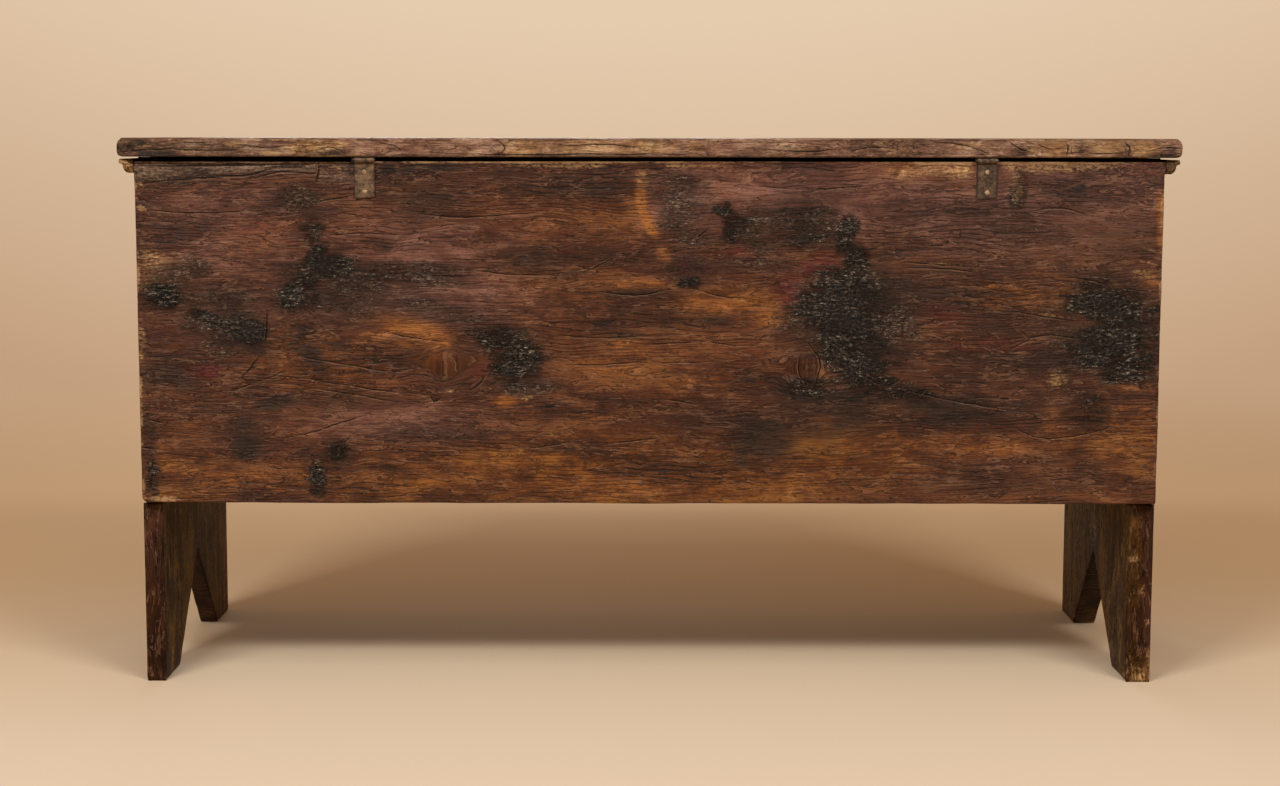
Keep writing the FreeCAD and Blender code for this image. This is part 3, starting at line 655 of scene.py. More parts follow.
BACK = {
    "gold": [
        (1062, 298, 15, 15, 1), (305, 362, 60, 26, 0.7), (930, 172, 60, 10, 0.8), (600, 476, 260, 36, 0.9),
        (420, 484, 120, 26, 0.85), (860, 452, 110, 24, 0.95), (640, 362, 84, 40, 0.2),
        (560, 280, 60, 30, 0.15), (400, 335, 60, 22, 0.6), (170, 470, 60, 44, 0.6), (636, 195, 12, 22, 0.5),
        (1120, 450, 60, 50, 0.5), (725, 303, 60, 14, 0.8), (610, 225, 40, 30, 0.15),
        (1000, 480, 120, 20, 0.3)],
    "pink": [
        (1080, 172, 90, 12, 0.9), (960, 212, 110, 36, 0.85), (1120, 185, 60, 36, 0.7),
        (420, 300, 90, 30, 0.8), (230, 228, 70, 46, 0.5), (420, 250, 80, 26, 0.5), (690, 200, 40, 36, 0.6),
        (800, 190, 80, 28, 0.85), (870, 205, 60, 34, 0.8), (410, 425, 90, 18, 0.5), (225, 320, 34, 26, 0.5)],
    "shade": [
        (742, 251, 26, 20, 1), (448, 373, 32, 14, 0.7), (480, 352, 14, 18, 0.5), (665, 312, 34, 14, 0.5),
        (808, 372, 22, 22, 0.5), (430, 192, 44, 26, 0.55), (590, 190, 60, 12, 0.55),
        (530, 260, 50, 16, 0.7), (885, 330, 60, 70, 0.5), (960, 290, 90, 50, 0.9),
        (1010, 350, 120, 40, 0.9), (860, 408, 110, 22, 0.75, -12), (755, 438, 32, 30, 0.8),
        (1110, 330, 60, 76, 0.6), (160, 300, 30, 26, 0.5), (175, 376, 46, 18, 0.7), (245, 418, 26, 34, 0.7),
        (335, 460, 26, 22, 0.6), (215, 292, 44, 16, 0.4), (500, 348, 50, 36, 0.5), (680, 318, 60, 10, 0.5),
        (1060, 270, 60, 18, 0.5), (300, 205, 60, 14, 0.4), (620, 295, 60, 10, 0.4),
        (1020, 405, 90, 14, 0.6), (700, 420, 60, 20, 0.3), (150, 200, 24, 30, 0.4), (145, 460, 12, 40, 0.5),
        (1158, 330, 10, 90, 0.5), (560, 415, 120, 8, 0.4)],
    "knots": [(447, 364, 12), (808, 368, 11), (338, 452, 5)],
    "char": [
        (328, 262, 24, 16, 1), (320, 252, 14, 10, 1), (306, 282, 14, 10, 0.8), (293, 296, 13, 14, 1),
        (167, 299, 12, 11, 1), (312, 232, 12, 20, 0.55), (245, 330, 26, 16, 0.9, 25),
        (214, 320, 26, 8, 0.8, 22), (500, 338, 34, 16, 0.75, 12), (520, 362, 28, 22, 0.8),
        (722, 208, 12, 9, 0.8), (730, 232, 9, 10, 0.8), (806, 226, 16, 18, 0.5), (838, 302, 42, 26, 1),
        (846, 330, 34, 34, 0.95), (848, 282, 24, 14, 0.9), (846, 236, 10, 24, 0.7, 20),
        (856, 262, 14, 18, 0.8), (862, 366, 30, 26, 0.85), (884, 380, 18, 8, 0.7),
        (905, 392, 34, 12, 0.6, 12), (160, 296, 22, 15, 0.8), (800, 212, 26, 10, 0.5),
        (804, 235, 18, 14, 0.6), (735, 222, 14, 12, 0.7), (1110, 308, 46, 24, 0.85, 8),
        (1112, 345, 42, 24, 0.95), (1128, 368, 26, 16, 0.9), (1088, 412, 26, 19, 0.5),
        (338, 452, 11, 10, 1), (318, 478, 9, 18, 0.75), (690, 283, 13, 6, 1), (152, 472, 8, 24, 0.6),
        (808, 385, 20, 12, 0.6)],
    "stain": [
        (273, 404, 24, 7, 0.9, -14), (246, 424, 14, 7, 0.8), (243, 447, 17, 13, 0.85),
        (162, 374, 22, 16, 0.6), (180, 385, 14, 8, 0.7), (335, 402, 60, 12, 0.5), (765, 440, 34, 24, 0.8),
        (830, 425, 60, 16, 0.6, -15), (742, 458, 12, 12, 0.7), (952, 408, 58, 16, 0.8, 4),
        (622, 334, 30, 6, 0.7), (535, 260, 34, 20, 0.45), (640, 293, 36, 4, 0.7), (720, 321, 22, 6, 0.8),
        (904, 284, 26, 14, 0.6), (950, 292, 14, 7, 0.6), (1125, 240, 40, 22, 0.5), (430, 205, 34, 22, 0.45),
        (610, 190, 30, 10, 0.4), (950, 180, 24, 8, 0.3), (470, 362, 16, 20, 0.4), (790, 200, 50, 20, 0.35),
        (1000, 486, 130, 12, 0.3), (375, 300, 80, 20, 0.3), (200, 225, 50, 14, 0.3),
        (665, 330, 12, 12, 0.4), (1085, 272, 34, 8, 0.4), (800, 425, 80, 40, 0.35), (240, 210, 60, 10, 0.3),
        (700, 420, 40, 20, 0.3), (560, 425, 50, 10, 0.3), (180, 330, 30, 20, 0.3)],
    "orange": [
        (430, 336, 26, 11, 1, 8), (408, 328, 46, 15, 0.9, 12), (320, 340, 14, 5, 0.6),
        (641, 198, 6, 26, 0.9, -6), (651, 228, 7, 20, 0.9, -24), (663, 252, 8, 12, 0.9, -20),
        (645, 285, 34, 6, 0.5), (724, 303, 46, 8, 1), (768, 314, 20, 14, 0.7), (632, 350, 24, 12, 0.6),
        (600, 367, 44, 8, 0.5), (735, 350, 40, 14, 0.15), (1020, 290, 60, 24, 0.45),
        (1062, 297, 14, 13, 0.8), (505, 402, 14, 7, 0.75), (822, 422, 14, 8, 0.6), (812, 368, 20, 16, 0.45),
        (630, 485, 110, 16, 0.55), (220, 480, 80, 16, 0.45), (400, 470, 60, 24, 0.4),
        (950, 448, 80, 18, 0.45), (285, 350, 20, 30, 0.4), (560, 420, 80, 30, 0.25),
        (560, 310, 60, 20, 0.2), (590, 225, 60, 20, 0.2), (255, 235, 50, 24, 0.3), (822, 376, 8, 12, 0.8),
        (1162, 218, 5, 34, 0.9), (1055, 422, 14, 16, 0.5), (1130, 410, 30, 50, 0.35),
        (700, 380, 60, 24, 0.3), (345, 360, 50, 20, 0.35), (1152, 282, 10, 8, 0.6), (960, 180, 16, 14, 0.4),
        (510, 200, 50, 20, 0.3), (480, 465, 60, 14, 0.35), (780, 480, 60, 14, 0.3)],
    "red": [
        (203, 371, 20, 8, 1), (816, 268, 26, 14, 1, -22), (792, 290, 22, 18, 1, -30),
        (742, 254, 22, 14, 0.55), (700, 270, 16, 8, 0.5), (686, 265, 9, 8, 0.8), (703, 215, 7, 22, 0.45),
        (203, 371, 22, 7, 0.8), (316, 305, 18, 5, 0.7), (250, 225, 60, 24, 0.3), (870, 200, 24, 16, 0.3),
        (345, 245, 14, 8, 0.4), (478, 372, 14, 16, 0.5), (1000, 345, 80, 10, 0.35), (940, 315, 30, 20, 0.4),
        (1152, 345, 10, 8, 0.5), (160, 330, 14, 10, 0.4), (640, 250, 30, 10, 0.25)],
    "purple": [
        (1000, 220, 160, 60, 0.55), (860, 195, 120, 30, 0.45), (400, 300, 90, 26, 0.5),
        (600, 180, 140, 16, 0.4), (1020, 475, 130, 24, 0.5), (1040, 400, 60, 30, 0.3),
        (230, 172, 90, 8, 0.8), (400, 230, 100, 30, 0.3), (400, 432, 60, 14, 0.3), (330, 180, 24, 14, 0.5)],
    "scaly": [
        (300, 272, 26, 10, 0.7), (345, 285, 30, 10, 0.7), (690, 205, 34, 34, 0.5),
        (405, 268, 60, 8, 0.8, 3), (800, 228, 50, 26, 0.8), (752, 222, 22, 18, 0.7),
        (850, 320, 70, 60, 0.8), (1110, 330, 66, 50, 0.7), (330, 268, 34, 24, 0.7), (300, 300, 30, 22, 0.6),
        (170, 285, 34, 26, 0.6), (690, 272, 26, 18, 0.6), (405, 276, 62, 12, 0.8, 3),
        (440, 312, 70, 14, 0.5, 12), (360, 300, 40, 20, 0.4), (682, 205, 26, 32, 0.95),
        (692, 235, 24, 12, 0.6), (298, 195, 24, 16, 0.85), (228, 328, 40, 28, 0.85),
        (225, 305, 44, 14, 0.7, 14), (192, 270, 18, 16, 0.6), (770, 240, 34, 22, 0.6),
        (800, 222, 22, 28, 0.4), (1018, 190, 9, 20, 0.8, 12), (1020, 225, 60, 20, 0.3, 14),
        (1110, 300, 60, 20, 0.5, 10), (760, 262, 50, 10, 0.4), (530, 385, 34, 12, 0.5),
        (152, 460, 8, 40, 0.4), (418, 434, 50, 8, 0.3)],
    "ochre": [
        (642, 178, 7, 10, 0.5), (1056, 379, 12, 9, 0.4), (152, 262, 18, 24, 0.3), (148, 286, 12, 10, 0.3),
        (902, 173, 14, 8, 0.35), (1050, 168, 70, 5, 0.3), (1142, 274, 14, 6, 0.35, 15),
        (140, 345, 5, 16, 0.6), (1062, 297, 10, 9, 0.3), (960, 172, 16, 8, 0.3), (452, 392, 8, 3, 0.3),
        (528, 398, 8, 5, 0.3)],
    # Among these spots, the thin strokes at (1150, 250), (1146, 262), (1150, 302), (938, 264), (1062, 317) and
    # (1100, 296) are painted glints; the rest are wear.
    "wear_and_glints": [
        (560, 162, 230, 1.8, 0.8), (1010, 163, 150, 2, 0.8), (300, 196, 20, 14, 0.4),
        (1017, 185, 8, 18, 0.6), (1150, 200, 8, 22, 0.3), (160, 500, 26, 4, 0.6), (530, 392, 30, 12, 0.25),
        (152, 262, 16, 24, 0.3), (338, 168, 8, 6, 0.4), (450, 391, 30, 4, 0.3), (1060, 167, 90, 6, 0.5),
        (930, 170, 50, 8, 0.4), (902, 173, 16, 8, 0.4), (960, 172, 16, 8, 0.4), (560, 166, 60, 3, 0.5),
        (690, 166, 40, 3, 0.5), (1150, 250, 12, 2, 0.5, 20), (1146, 262, 16, 2, 0.5, 14),
        (1150, 302, 12, 2, 0.5), (938, 264, 40, 2, 0.5, 3), (1062, 317, 44, 2, 0.5, 8),
        (140, 184, 5, 3, 0.8, 20), (141, 208, 6, 3, 0.8, 15), (870, 330, 14, 3, 0.4, 30),
        (1100, 296, 30, 2.5, 0.4, 12), (1163, 220, 3, 30, 0.5)],
    "deep": [
        [(136, 165.8), (200, 165.4), (260, 165.2), (318, 164.6)],
        [(138, 184), (160, 181), (199, 178.5), (225, 176), (250, 176), (265, 170), (280, 166.5), (311, 169.5)],
        [(319, 164), (318, 175), (315, 182)], [(266.5, 313), (266, 330), (264.5, 345)],
        [(258, 357), (250, 368), (240, 378)], [(312, 203), (336, 199), (350, 196.5)],
        [(430, 396), (434, 404), (440, 398)], [(470, 390), (479, 385), (484, 378)]],
    "cracks": [
        [(319, 236), (371, 232.7), (398, 235)], [(524, 449), (574, 442)], [(603, 444), (659, 438)],
        [(660, 363), (714, 362)], [(664, 399), (693, 404)], [(905, 262), (974, 267)],
        [(1017, 312), (1060, 319), (1103, 322)], [(905, 390), (950, 400), (1005, 410)],
        [(1015, 428), (1039, 440), (1086, 435), (1112, 426)], [(144, 419), (163, 423)],
        [(142, 447), (156, 449)], [(285, 438.5), (311, 433), (337, 424), (369, 414)],
        [(219.5, 392), (237, 389), (250, 385), (287, 370.5)], [(610, 260), (590, 270), (570, 274)],
        [(600, 292), (640, 296), (665, 290)], [(690, 288), (720, 296), (760, 300)],
        [(866, 376), (880, 386), (895, 384), (904, 375)], [(560, 335), (600, 338), (660, 336)],
        [(800, 355), (798, 372), (806, 384)], [(1068, 277), (1090, 280), (1130, 290), (1160, 292)],
        [(380, 330), (410, 338), (450, 342)], [(150, 210), (200, 214), (260, 210)],
        [(420, 214), (470, 218), (540, 212)], [(760, 186), (810, 190), (870, 186)],
        [(690, 240), (700, 236), (708, 228)]],
    "cracks_beside": [
        [(250, 180), (275, 171.5), (300, 172.5), (315, 174)], [(905, 267), (940, 268), (974, 272)],
        [(300, 356), (350, 366), (395, 372)], [(300, 378), (340, 384), (390, 392), (420, 394)],
        [(310, 388), (350, 394), (400, 402)], [(567, 365), (614, 364), (648, 361)],
        [(640, 345), (700, 341), (740, 346)], [(1010, 350), (1040, 334), (1080, 338)],
        [(905, 240), (935, 248), (960, 238)], [(1030, 212), (1060, 206), (1085, 214)],
        [(810, 345), (822, 362), (815, 385)], [(470, 270), (520, 276), (590, 272)]],
}
# The pale strip under the lid: where it narrows, and its lower edges before and after that
STRIP_END = 354
STRIP_FOOT = 165.5
NARROW_STRIP_FOOT = 160.5
# The splintered wood under the strip, which ends at a crack, and the grey patch beside it
SPLINTER_END = 318
SPLINTER_FOOT = 172
SPLINTER_DROP = 9
PATCH_START = 320
PATCH_FOOT = 183
# A step where a flake has come off, and the bare wood to its right
STEP_EDGE = 265
STEP_TOP = 313
STEP_BOTTOM = 368
FLAKE_END = 300
FLAKE_BOTTOM = 345
# Deep hollows: the depth and the spot
HOLLOWS = ((3.5 * MM, (167, 299, 9, 8, 1)), (2.5 * MM, (432, 399, 7, 5, 1)))

# The rear edge of the lid, in the photograph's pixels
LID_EDGE = {
    "gold": [
        (315, 148, 34, 10, 1), (298, 147, 14, 7, 1), (338, 145, 16, 6, 1), (528, 148, 30, 11, 0.85),
        (600, 148, 56, 11, 0.9), (650, 147, 34, 9, 0.95), (694, 147, 11, 8, 0.9), (1057, 148, 18, 10, 1),
        (1109, 148, 19, 10, 1), (1144, 148, 16, 9, 1), (180, 150, 26, 5, 0.45), (236, 146, 18, 4, 0.6),
        (143, 147, 20, 6, 0.4), (440, 147, 26, 7, 0.45), (380, 148, 16, 6, 0.4), (990, 147, 18, 6, 0.4)],
    # The long thin spots at y 153 to 156 paint shade along the lower arris, and the tilted one at (332, 153)
    # paints the shadow under the gold flake; the others darken the wood.
    "shade": [
        (205, 148, 95, 12, 0.4), (332, 153, 24, 4.5, 0.95, -8), (560, 156, 130, 2.5, 0.75),
        (420, 156, 70, 2.5, 0.7), (880, 140.5, 150, 1.6, 0.7), (1022, 152, 10, 6, 0.9),
        (980, 153, 10, 5, 0.6), (862, 147, 14, 6, 0.45), (262, 148, 26, 8, 0.4), (125, 150, 12, 8, 0.5),
        (750, 152, 30, 5, 0.4), (930, 154, 40, 3, 0.5), (1083, 150, 6, 8, 0.8), (1128, 150, 4, 8, 0.6),
        (1170, 152, 10, 6, 0.4), (220, 153, 40, 3, 0.5)],
    "stain": [
        (130, 146, 14, 8, 0.4), (1022, 152, 8, 6, 0.6), (340, 154, 14, 3, 0.6), (1174, 151, 8, 8, 0.6)],
    "ochre": [
        (1057, 147, 14, 5, 0.2), (1108, 148, 16, 5, 0.35), (1143, 148, 12, 5, 0.2), (312, 147, 28, 7, 0.5),
        (540, 147, 20, 6, 0.3), (620, 147, 26, 5, 0.3), (892, 146, 30, 5, 0.35), (965, 145, 26, 5, 0.35)],
    "red": [(420, 148, 70, 8, 0.45), (745, 148, 60, 9, 0.4), (900, 149, 60, 8, 0.25)],
    # The long thin strokes at y 139.5 to 141 paint the highlight along the top arris; the other spots are
    # wear.
    "wear_and_glints": [
        (145, 146, 20, 3, 0.6, -10), (190, 150, 20, 3, 0.5), (236, 143, 16, 2.5, 0.8),
        (271, 153, 12, 2.5, 0.9), (350, 155, 8, 2, 0.9), (640, 139.5, 60, 1.5, 0.6),
        (1055, 142, 30, 2.5, 0.7), (1110, 141, 60, 1.5, 0.6), (300, 139.5, 40, 1.5, 0.6),
        (1032, 151, 10, 5, 0.6), (965, 150, 14, 3, 0.4), (1165, 146, 12, 4, 0.5), (1100, 147, 90, 9, 0.4)],
    "cracks": [
        [(122, 152), (160, 148), (200, 151), (240, 149)], [(236, 145), (262, 148), (290, 146)],
        [(300, 153), (322, 149), (330, 146), (345, 153)], [(380, 143), (398, 147), (402, 153)],
        [(440, 154), (520, 155), (640, 154), (700, 155)], [(500, 142), (506, 148), (502, 153)],
        [(720, 143), (770, 142), (830, 144)], [(850, 152), (874, 146), (900, 151)],
        [(930, 142), (962, 144), (980, 150), (990, 155)], [(1010, 142), (1018, 148), (1034, 154)],
        [(1066, 142), (1069, 148), (1067, 155)], [(1090, 153), (1110, 154), (1125, 152)],
        [(1126, 143), (1131, 149), (1129, 155)], [(1150, 151), (1168, 147), (1180, 149)],
        [(150, 143), (180, 144), (215, 142)], [(560, 146), (600, 144), (640, 147)],
        [(1040, 145), (1052, 150), (1060, 148)], [(760, 150), (800, 152), (840, 149)]],
}

# The rear edges of the legs, in the photograph's pixels
LEG_EDGES = {
    "gold": [(1133, 570, 8, 70, 0.7), (1137, 660, 12, 16, 0.4)],
    "pink": [(158, 545, 16, 60, 0.5), (1150, 600, 7, 90, 0.6)],
    # The two thin spots at y 511 and 512, just under the back board, paint its shadow on the legs; the others
    # darken the wood.
    "shade": [
        (160, 560, 18, 60, 0.7), (160, 650, 16, 56, 1), (1150, 570, 9, 90, 0.7), (1141, 512, 20, 6, 0.8),
        (157, 511, 16, 6, 0.8), (1138, 630, 16, 30, 0.7)],
    "ochre": [
        (1138, 690, 20, 16, 1), (1130, 664, 4, 18, 0.9), (1149, 662, 3, 14, 0.8), (1138, 676, 14, 12, 0.7),
        (1134, 560, 6, 3, 0.5), (1141, 592, 3, 5, 0.4)],
    "wear_and_glints": [
        (1138, 686, 16, 18, 0.4), (1133, 560, 7, 3.5, 0.6), (1143, 590, 4, 9, 0.5), (1151, 585, 3, 8, 0.4),
        (1148, 622, 3, 6, 0.5), (164, 640, 3, 20, 0.3), (160, 696, 8, 4, 0.5), (165, 608, 3, 6, 0.4)],
}


def flow_round_knots(along, aside, knots, rough):
    """The coordinate across the grain, flowing round each knot, with uneven rings inside it."""
    warped = aside.copy()
    for x, y, radius in knots:
        away = np.hypot((along - x) / 1.7, aside - y) * (1 + rough)
        push = (aside - y) * np.minimum(1, (radius / np.maximum(away, 1e-6)) ** 2)
        warped = warped - push * (1 - smooth_step(radius * 1.2, radius * 4, away))
        warped = warped + (1 - smooth_step(radius * 0.5, radius * 1.4, away)) * away * 0.15
    return warped


def wood_surface(world, along, aside, through, marks, unit, seed):
    """The fields and the wear of one board. along and aside follow the grain in the marks' own unit,
    and through is the depth in metres. Gives the fields and how far each point is worn in."""
    rough = noise(world, (38, 38, 60), seed, 4) * 0.5
    cover = {kind: blots(along, aside, marks.get(kind, ()), rough)
             for kind in ("stain", "orange", "red", "purple", "scaly", "ochre", "wear_and_glints")}
    ragged = rough + noise(world, (90, 90, 150), seed + 70, 2) * 0.35
    cover["char"] = blots(along, aside, marks.get("char", ()), ragged, 0.35, 1.6)
    zones = [blots(along, aside, marks.get(kind, ()), rough * 0.7, 0.1, 1.7)
             for kind in ("gold", "pink", "shade")]
    fields = {
        "zones": stack(*zones),
        "tones": stack(cover["orange"], cover["red"], cover["purple"]),
        "marks": stack(cover["char"], cover["scaly"], cover["stain"]),
        "worn": stack(cover["wear_and_glints"], cover["ochre"], np.zeros(len(world))),
    }
    deep = list(marks.get("deep", ()))
    sure = crack_field(along, aside, deep, 5.0)[1]
    for name, lines in (("crack_a", deep + marks["cracks"]), ("crack_b", marks["cracks_beside"])):
        signed, strength = crack_field(along, aside, lines, 5.0)
        fields[name] = stack(signed * unit, strength, sure)
    wander = noise(world, (3, 3, 9), seed + 10, 3) * 8 * MM
    wander += noise(world, (14, 14, 26), seed + 60, 3) * 3.2 * MM
    flow = flow_round_knots(along, aside, marks.get("knots", ()), rough)
    fields["grain"] = stack(along * unit, flow * unit + wander, through)
    dents = 0.3 * (1 + noise(world, (6, 6, 16), seed + 20, 3))
    dents += 0.2 * (1 + noise(fields["grain"], (9, 130, 60), seed + 30, 2))
    dents += cover["char"] * (0.5 + 1.1 * np.abs(noise(world, (70, 70, 120), seed + 40, 2)))
    dents += cover["scaly"] * 0.6 * np.abs(noise(world, (80, 80, 170), seed + 50, 2))
    for field in ("crack_a", "crack_b"):
        dents += 0.9 * fields[field][:, 1] * np.exp(-(fields[field][:, 0] / (1.6 * MM)) ** 2)
    return fields, dents * MM


# Marks of a board that the photograph doesn't show: how many on MARKED_AREA, and the ranges of their
# half widths, half heights and strengths
SCATTERED = {
    "gold": (9, (50, 160), (20, 46), (0.4, 0.9)),
    "pink": (8, (40, 120), (18, 40), (0.4, 0.8)),
    "shade": (14, (30, 110), (12, 44), (0.4, 0.8)),
    "stain": (26, (14, 60), (6, 22), (0.3, 0.8)),
    "orange": (34, (14, 80), (6, 24), (0.3, 0.7)),
    "red": (12, (14, 50), (6, 18), (0.3, 0.6)),
    "purple": (8, (60, 140), (16, 50), (0.3, 0.6)),
    "scaly": (8, (20, 60), (8, 20), (0.3, 0.7)),
    "ochre": (10, (8, 24), (4, 10), (0.4, 0.8)),
    "wear_and_glints": (10, (10, 50), (3, 9), (0.4, 0.8)),
}
MARKED_AREA = 470000


def scattered_marks(low, high, seed, knots, busy=1.0):
    """Marks for a board that the photograph doesn't show, spread over low to high in millimetres."""
    random = np.random.default_rng(seed)
    size = high - low

    def spots(count, widths, heights, strengths):
        return [(*(low + size * random.random(2)), random.uniform(*widths), random.uniform(*heights),
                 random.uniform(*strengths), random.uniform(-12, 12)) for _ in range(int(count * busy))]

    def lines(count):
        found = []
        for _ in range(int(count * busy)):
            x, y = low + size * random.random(2)
            length, slope = random.uniform(20, 90), random.uniform(-0.12, 0.12)
            bend = random.uniform(-0.06, 0.06)
            found.append([(x + length * t, y + length * (slope * t + bend * t * t))
                          for t in (0, 0.35, 0.7, 1)])
        return found

    area = size[0] * size[1] / MARKED_AREA
    places = [low + size * (0.08 + 0.84 * random.random(2)) for _ in range(knots)]
    marks = {
        "knots": [(*place, random.uniform(9, 26)) for place in places],
        "char": [(*place, random.uniform(8, 26), random.uniform(7, 18), random.uniform(0.5, 1), 0)
                 for place in places],
    }
    marks |= {kind: spots(count * area, *ranges) for kind, (count, *ranges) in SCATTERED.items()}
    return marks | {"cracks": lines(26 * area), "cracks_beside": lines(16 * area)}



# Boards

# The photographed back board reaches this much closer to the lid than the modelled one
BACK_BOARD_RISE = 2.4 * MM
# The band along its top edge, with finer rows for the strip's edges
TOP_BAND = 16 * MM


def box_of(node):
    low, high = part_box(node)
    return np.array(low), np.array(high)


def edge_radius(world, seed, middle=2.4, swing=1.4):
    return MM * (middle + swing * noise(world, (30, 30, 30), seed, 2))


def edge_wave(world, seed, middle=0.8, swing=0.8):
    return MM * (middle + swing * noise(world, (12, 12, 12), seed, 3))


def inner_face(points, thickness):
    """1 on a board's hidden face."""
    return smooth_step(thickness - 2 * MM, thickness, points[:, 2])


def edge_marks(px, py, marks, rough):
    return {kind: blots(px, py, spots, rough) for kind, spots in marks.items() if kind != "cracks"}


def cover_fields(fields, share, others):
    for field, values in others.items():
        fields[field] = fields[field] * (1 - share[:, None]) + values * share[:, None]


def seat_nails(dents, world, nails):
    """Flattens the wear round each nail, so that its head sits on the wood."""
    for place in nails:
        away = np.linalg.norm(world - place, axis=1)
        dents = dents + (0.5 * MM - dents) * (1 - smooth_step(5 * MM, 11 * MM, away))
    return dents


class Plank:
    """A rectangular board along X, which stands for a CAD node. Its points are along, across and below
    its show face. across is the frame's axis for the second, and way is 1 or -1, as the show face looks
    up its own axis or down it."""

    def __init__(self, node, across, way, rise=0.0):
        self.node, self.across, self.way = node, across, way
        self.low, self.high = box_of(node)
        self.high[2] += rise
        through = 3 - across
        self.thickness = self.high[through] - self.low[through]
        self.face = self.high[through] if way > 0 else self.low[through]

    def place(self, points):
        """Points of the board in the frame's axes."""
        placed = points.copy()
        placed[:, self.across] = points[:, 1]
        placed[:, 3 - self.across] = self.face - self.way * points[:, 2]
        return placed

    def build(self, along, rows, coarse, level_step=LEVEL_STEP):
        levels = grid_lines(0.0, self.thickness, level_step)
        self.points, self.faces = rectangle_slab(along, rows, levels, coarse)
        self.world = self.place(self.points)
        self.inner = inner_face(self.points, self.thickness)

    def scatter(self, along_step, across_step, coarse, seeds, knots, busy=1.0, level_step=LEVEL_STEP):
        """Builds a board that the photograph doesn't show, with marks of its own."""
        low, high = self.low[[0, self.across]], self.high[[0, self.across]]
        self.build(grid_lines(low[0], high[0], along_step, coarse),
                   grid_lines(low[1], high[1], across_step, coarse), coarse, level_step)
        marks = scattered_marks(low / MM, high / MM, seeds[0], knots, busy)
        along, across, through = self.points.T
        self.fields, self.dents = wood_surface(self.world, along / MM, across / MM, through, marks, MM,
                                               seeds[1])

    def end_gap(self):
        along = self.points[:, 0]
        return np.minimum(along - self.low[0], self.high[0] - along)

    def finish(self, name, body, slot, material, corner, radius, wave):
        ends = [0, self.across]
        moved, gap, inward = rectangle_edge(self.points, self.low[ends], self.high[ends], corner)
        moved = round_and_wear(moved, gap, inward, self.thickness, radius, wave, self.dents)
        make_piece(name, self.place(moved), self.faces, self.fields, material, body, [self.node])


def back_board():
    plank = Plank("back_board", 2, 1, BACK_BOARD_RISE)
    low, high = plank.low, plank.high
    along = grid_lines(low[0], high[0], 2.7 * MM, 4)
    rows = grid_lines(low[2], high[2] - TOP_BAND, 2.4 * MM)[:-len(EDGE_STEPS)]
    top_rows = high[2] - np.arange(15.6, 0.1, -1.2) * MM
    across = np.concatenate([rows, top_rows, [high[2]]])
    spare = (len(across) - 1) % 4
    plank.build(along, np.delete(across, [20 * (k + 1) for k in range(spare)]), 4)
    points, world = plank.points, plank.world
    px, py = photo_pixels(stack(points[:, 0], np.full(len(points), high[1]), points[:, 1]))
    pixel = (high[0] - low[0]) / (px.max() - px.min())
    fields, dents = wood_surface(world, px, py, points[:, 2], BACK, pixel, 11)
    show = smooth_step(12 * MM, 2 * MM, points[:, 2])

    char, scaly, stain = fields["marks"].T
    splinter_foot = SPLINTER_FOOT + SPLINTER_DROP * smooth_step(250, 150, px)
    above_crack = (px < SPLINTER_END) & (py < splinter_foot)
    splintered = above_crack & (py > STRIP_FOOT)
    scaly = np.where(py < STRIP_FOOT, 0, np.maximum(scaly, np.where(splintered, 0.35, 0)))
    in_step = (py > STEP_TOP) & (py < STEP_BOTTOM)
    left_of_step = in_step & (px < STEP_EDGE + 1.5)
    right_of_step = in_step & (px > STEP_EDGE) & (px < FLAKE_END) & (py < FLAKE_BOTTOM)
    char = np.where(right_of_step, char * 0.1, char)
    fields["marks"] = stack(char, scaly, stain) * (0.3 + 0.7 * show)[:, None]
    wide_strip = px < STRIP_END
    strip_foot = np.where(wide_strip, STRIP_FOOT, NARROW_STRIP_FOOT)
    strip = smooth_step(strip_foot + 0.5, strip_foot - 0.5, py) * show
    rubbed = smooth_step(9 * MM, 0, plank.end_gap()) * np.clip(0.35 + noise(world, (60, 60, 60), 12, 2), 0, 1)
    wear_and_glints, ochre, _ = fields["worn"].T
    patched = (px > PATCH_START) & wide_strip & (py < PATCH_FOOT) & (py > STRIP_FOOT - 6)
    grey = np.where(splintered, 0.75, np.where(patched, 0.4, strip * np.where(wide_strip, 0.6, 0))) * show
    ochre = np.maximum(ochre, strip * np.where(wide_strip, 0.2, 0.15))
    fields["worn"] = stack(np.maximum(wear_and_glints, rubbed), ochre, np.maximum(plank.inner, grey))
    for field in ("crack_a", "crack_b"):
        fields[field][:, 1] *= show

    dents = dents + MM * strip * np.where(wide_strip, 2.2, 0.4)
    for depth, hollow in HOLLOWS:
        dents += depth * blot(px, py, hollow, 0)
    dents += 1.4 * MM * np.where(left_of_step, 1, 0) * smooth_step(150, 240, px)
    dents *= np.where(points[:, 2] < plank.thickness / 2, 1, 0.5)
    plank.fields, plank.dents = fields, seat_nails(dents, world, NAIL_PLACES["back_board_nails"])
    below_top = smooth_step(high[2] - 4 * MM, high[2] - 20 * MM, world[:, 2])
    corner = np.where((world[:, 0] > 0) & (world[:, 2] < 0.3), 9 * MM, 3 * MM)
    radius = edge_radius(world, 19) * (0.35 + 0.65 * below_top)
    wave = edge_wave(world, 18, 1.1, 1.1) * below_top
    plank.finish("back_plank", "case", "board_wood", BOARD_OAK, corner, radius, wave)


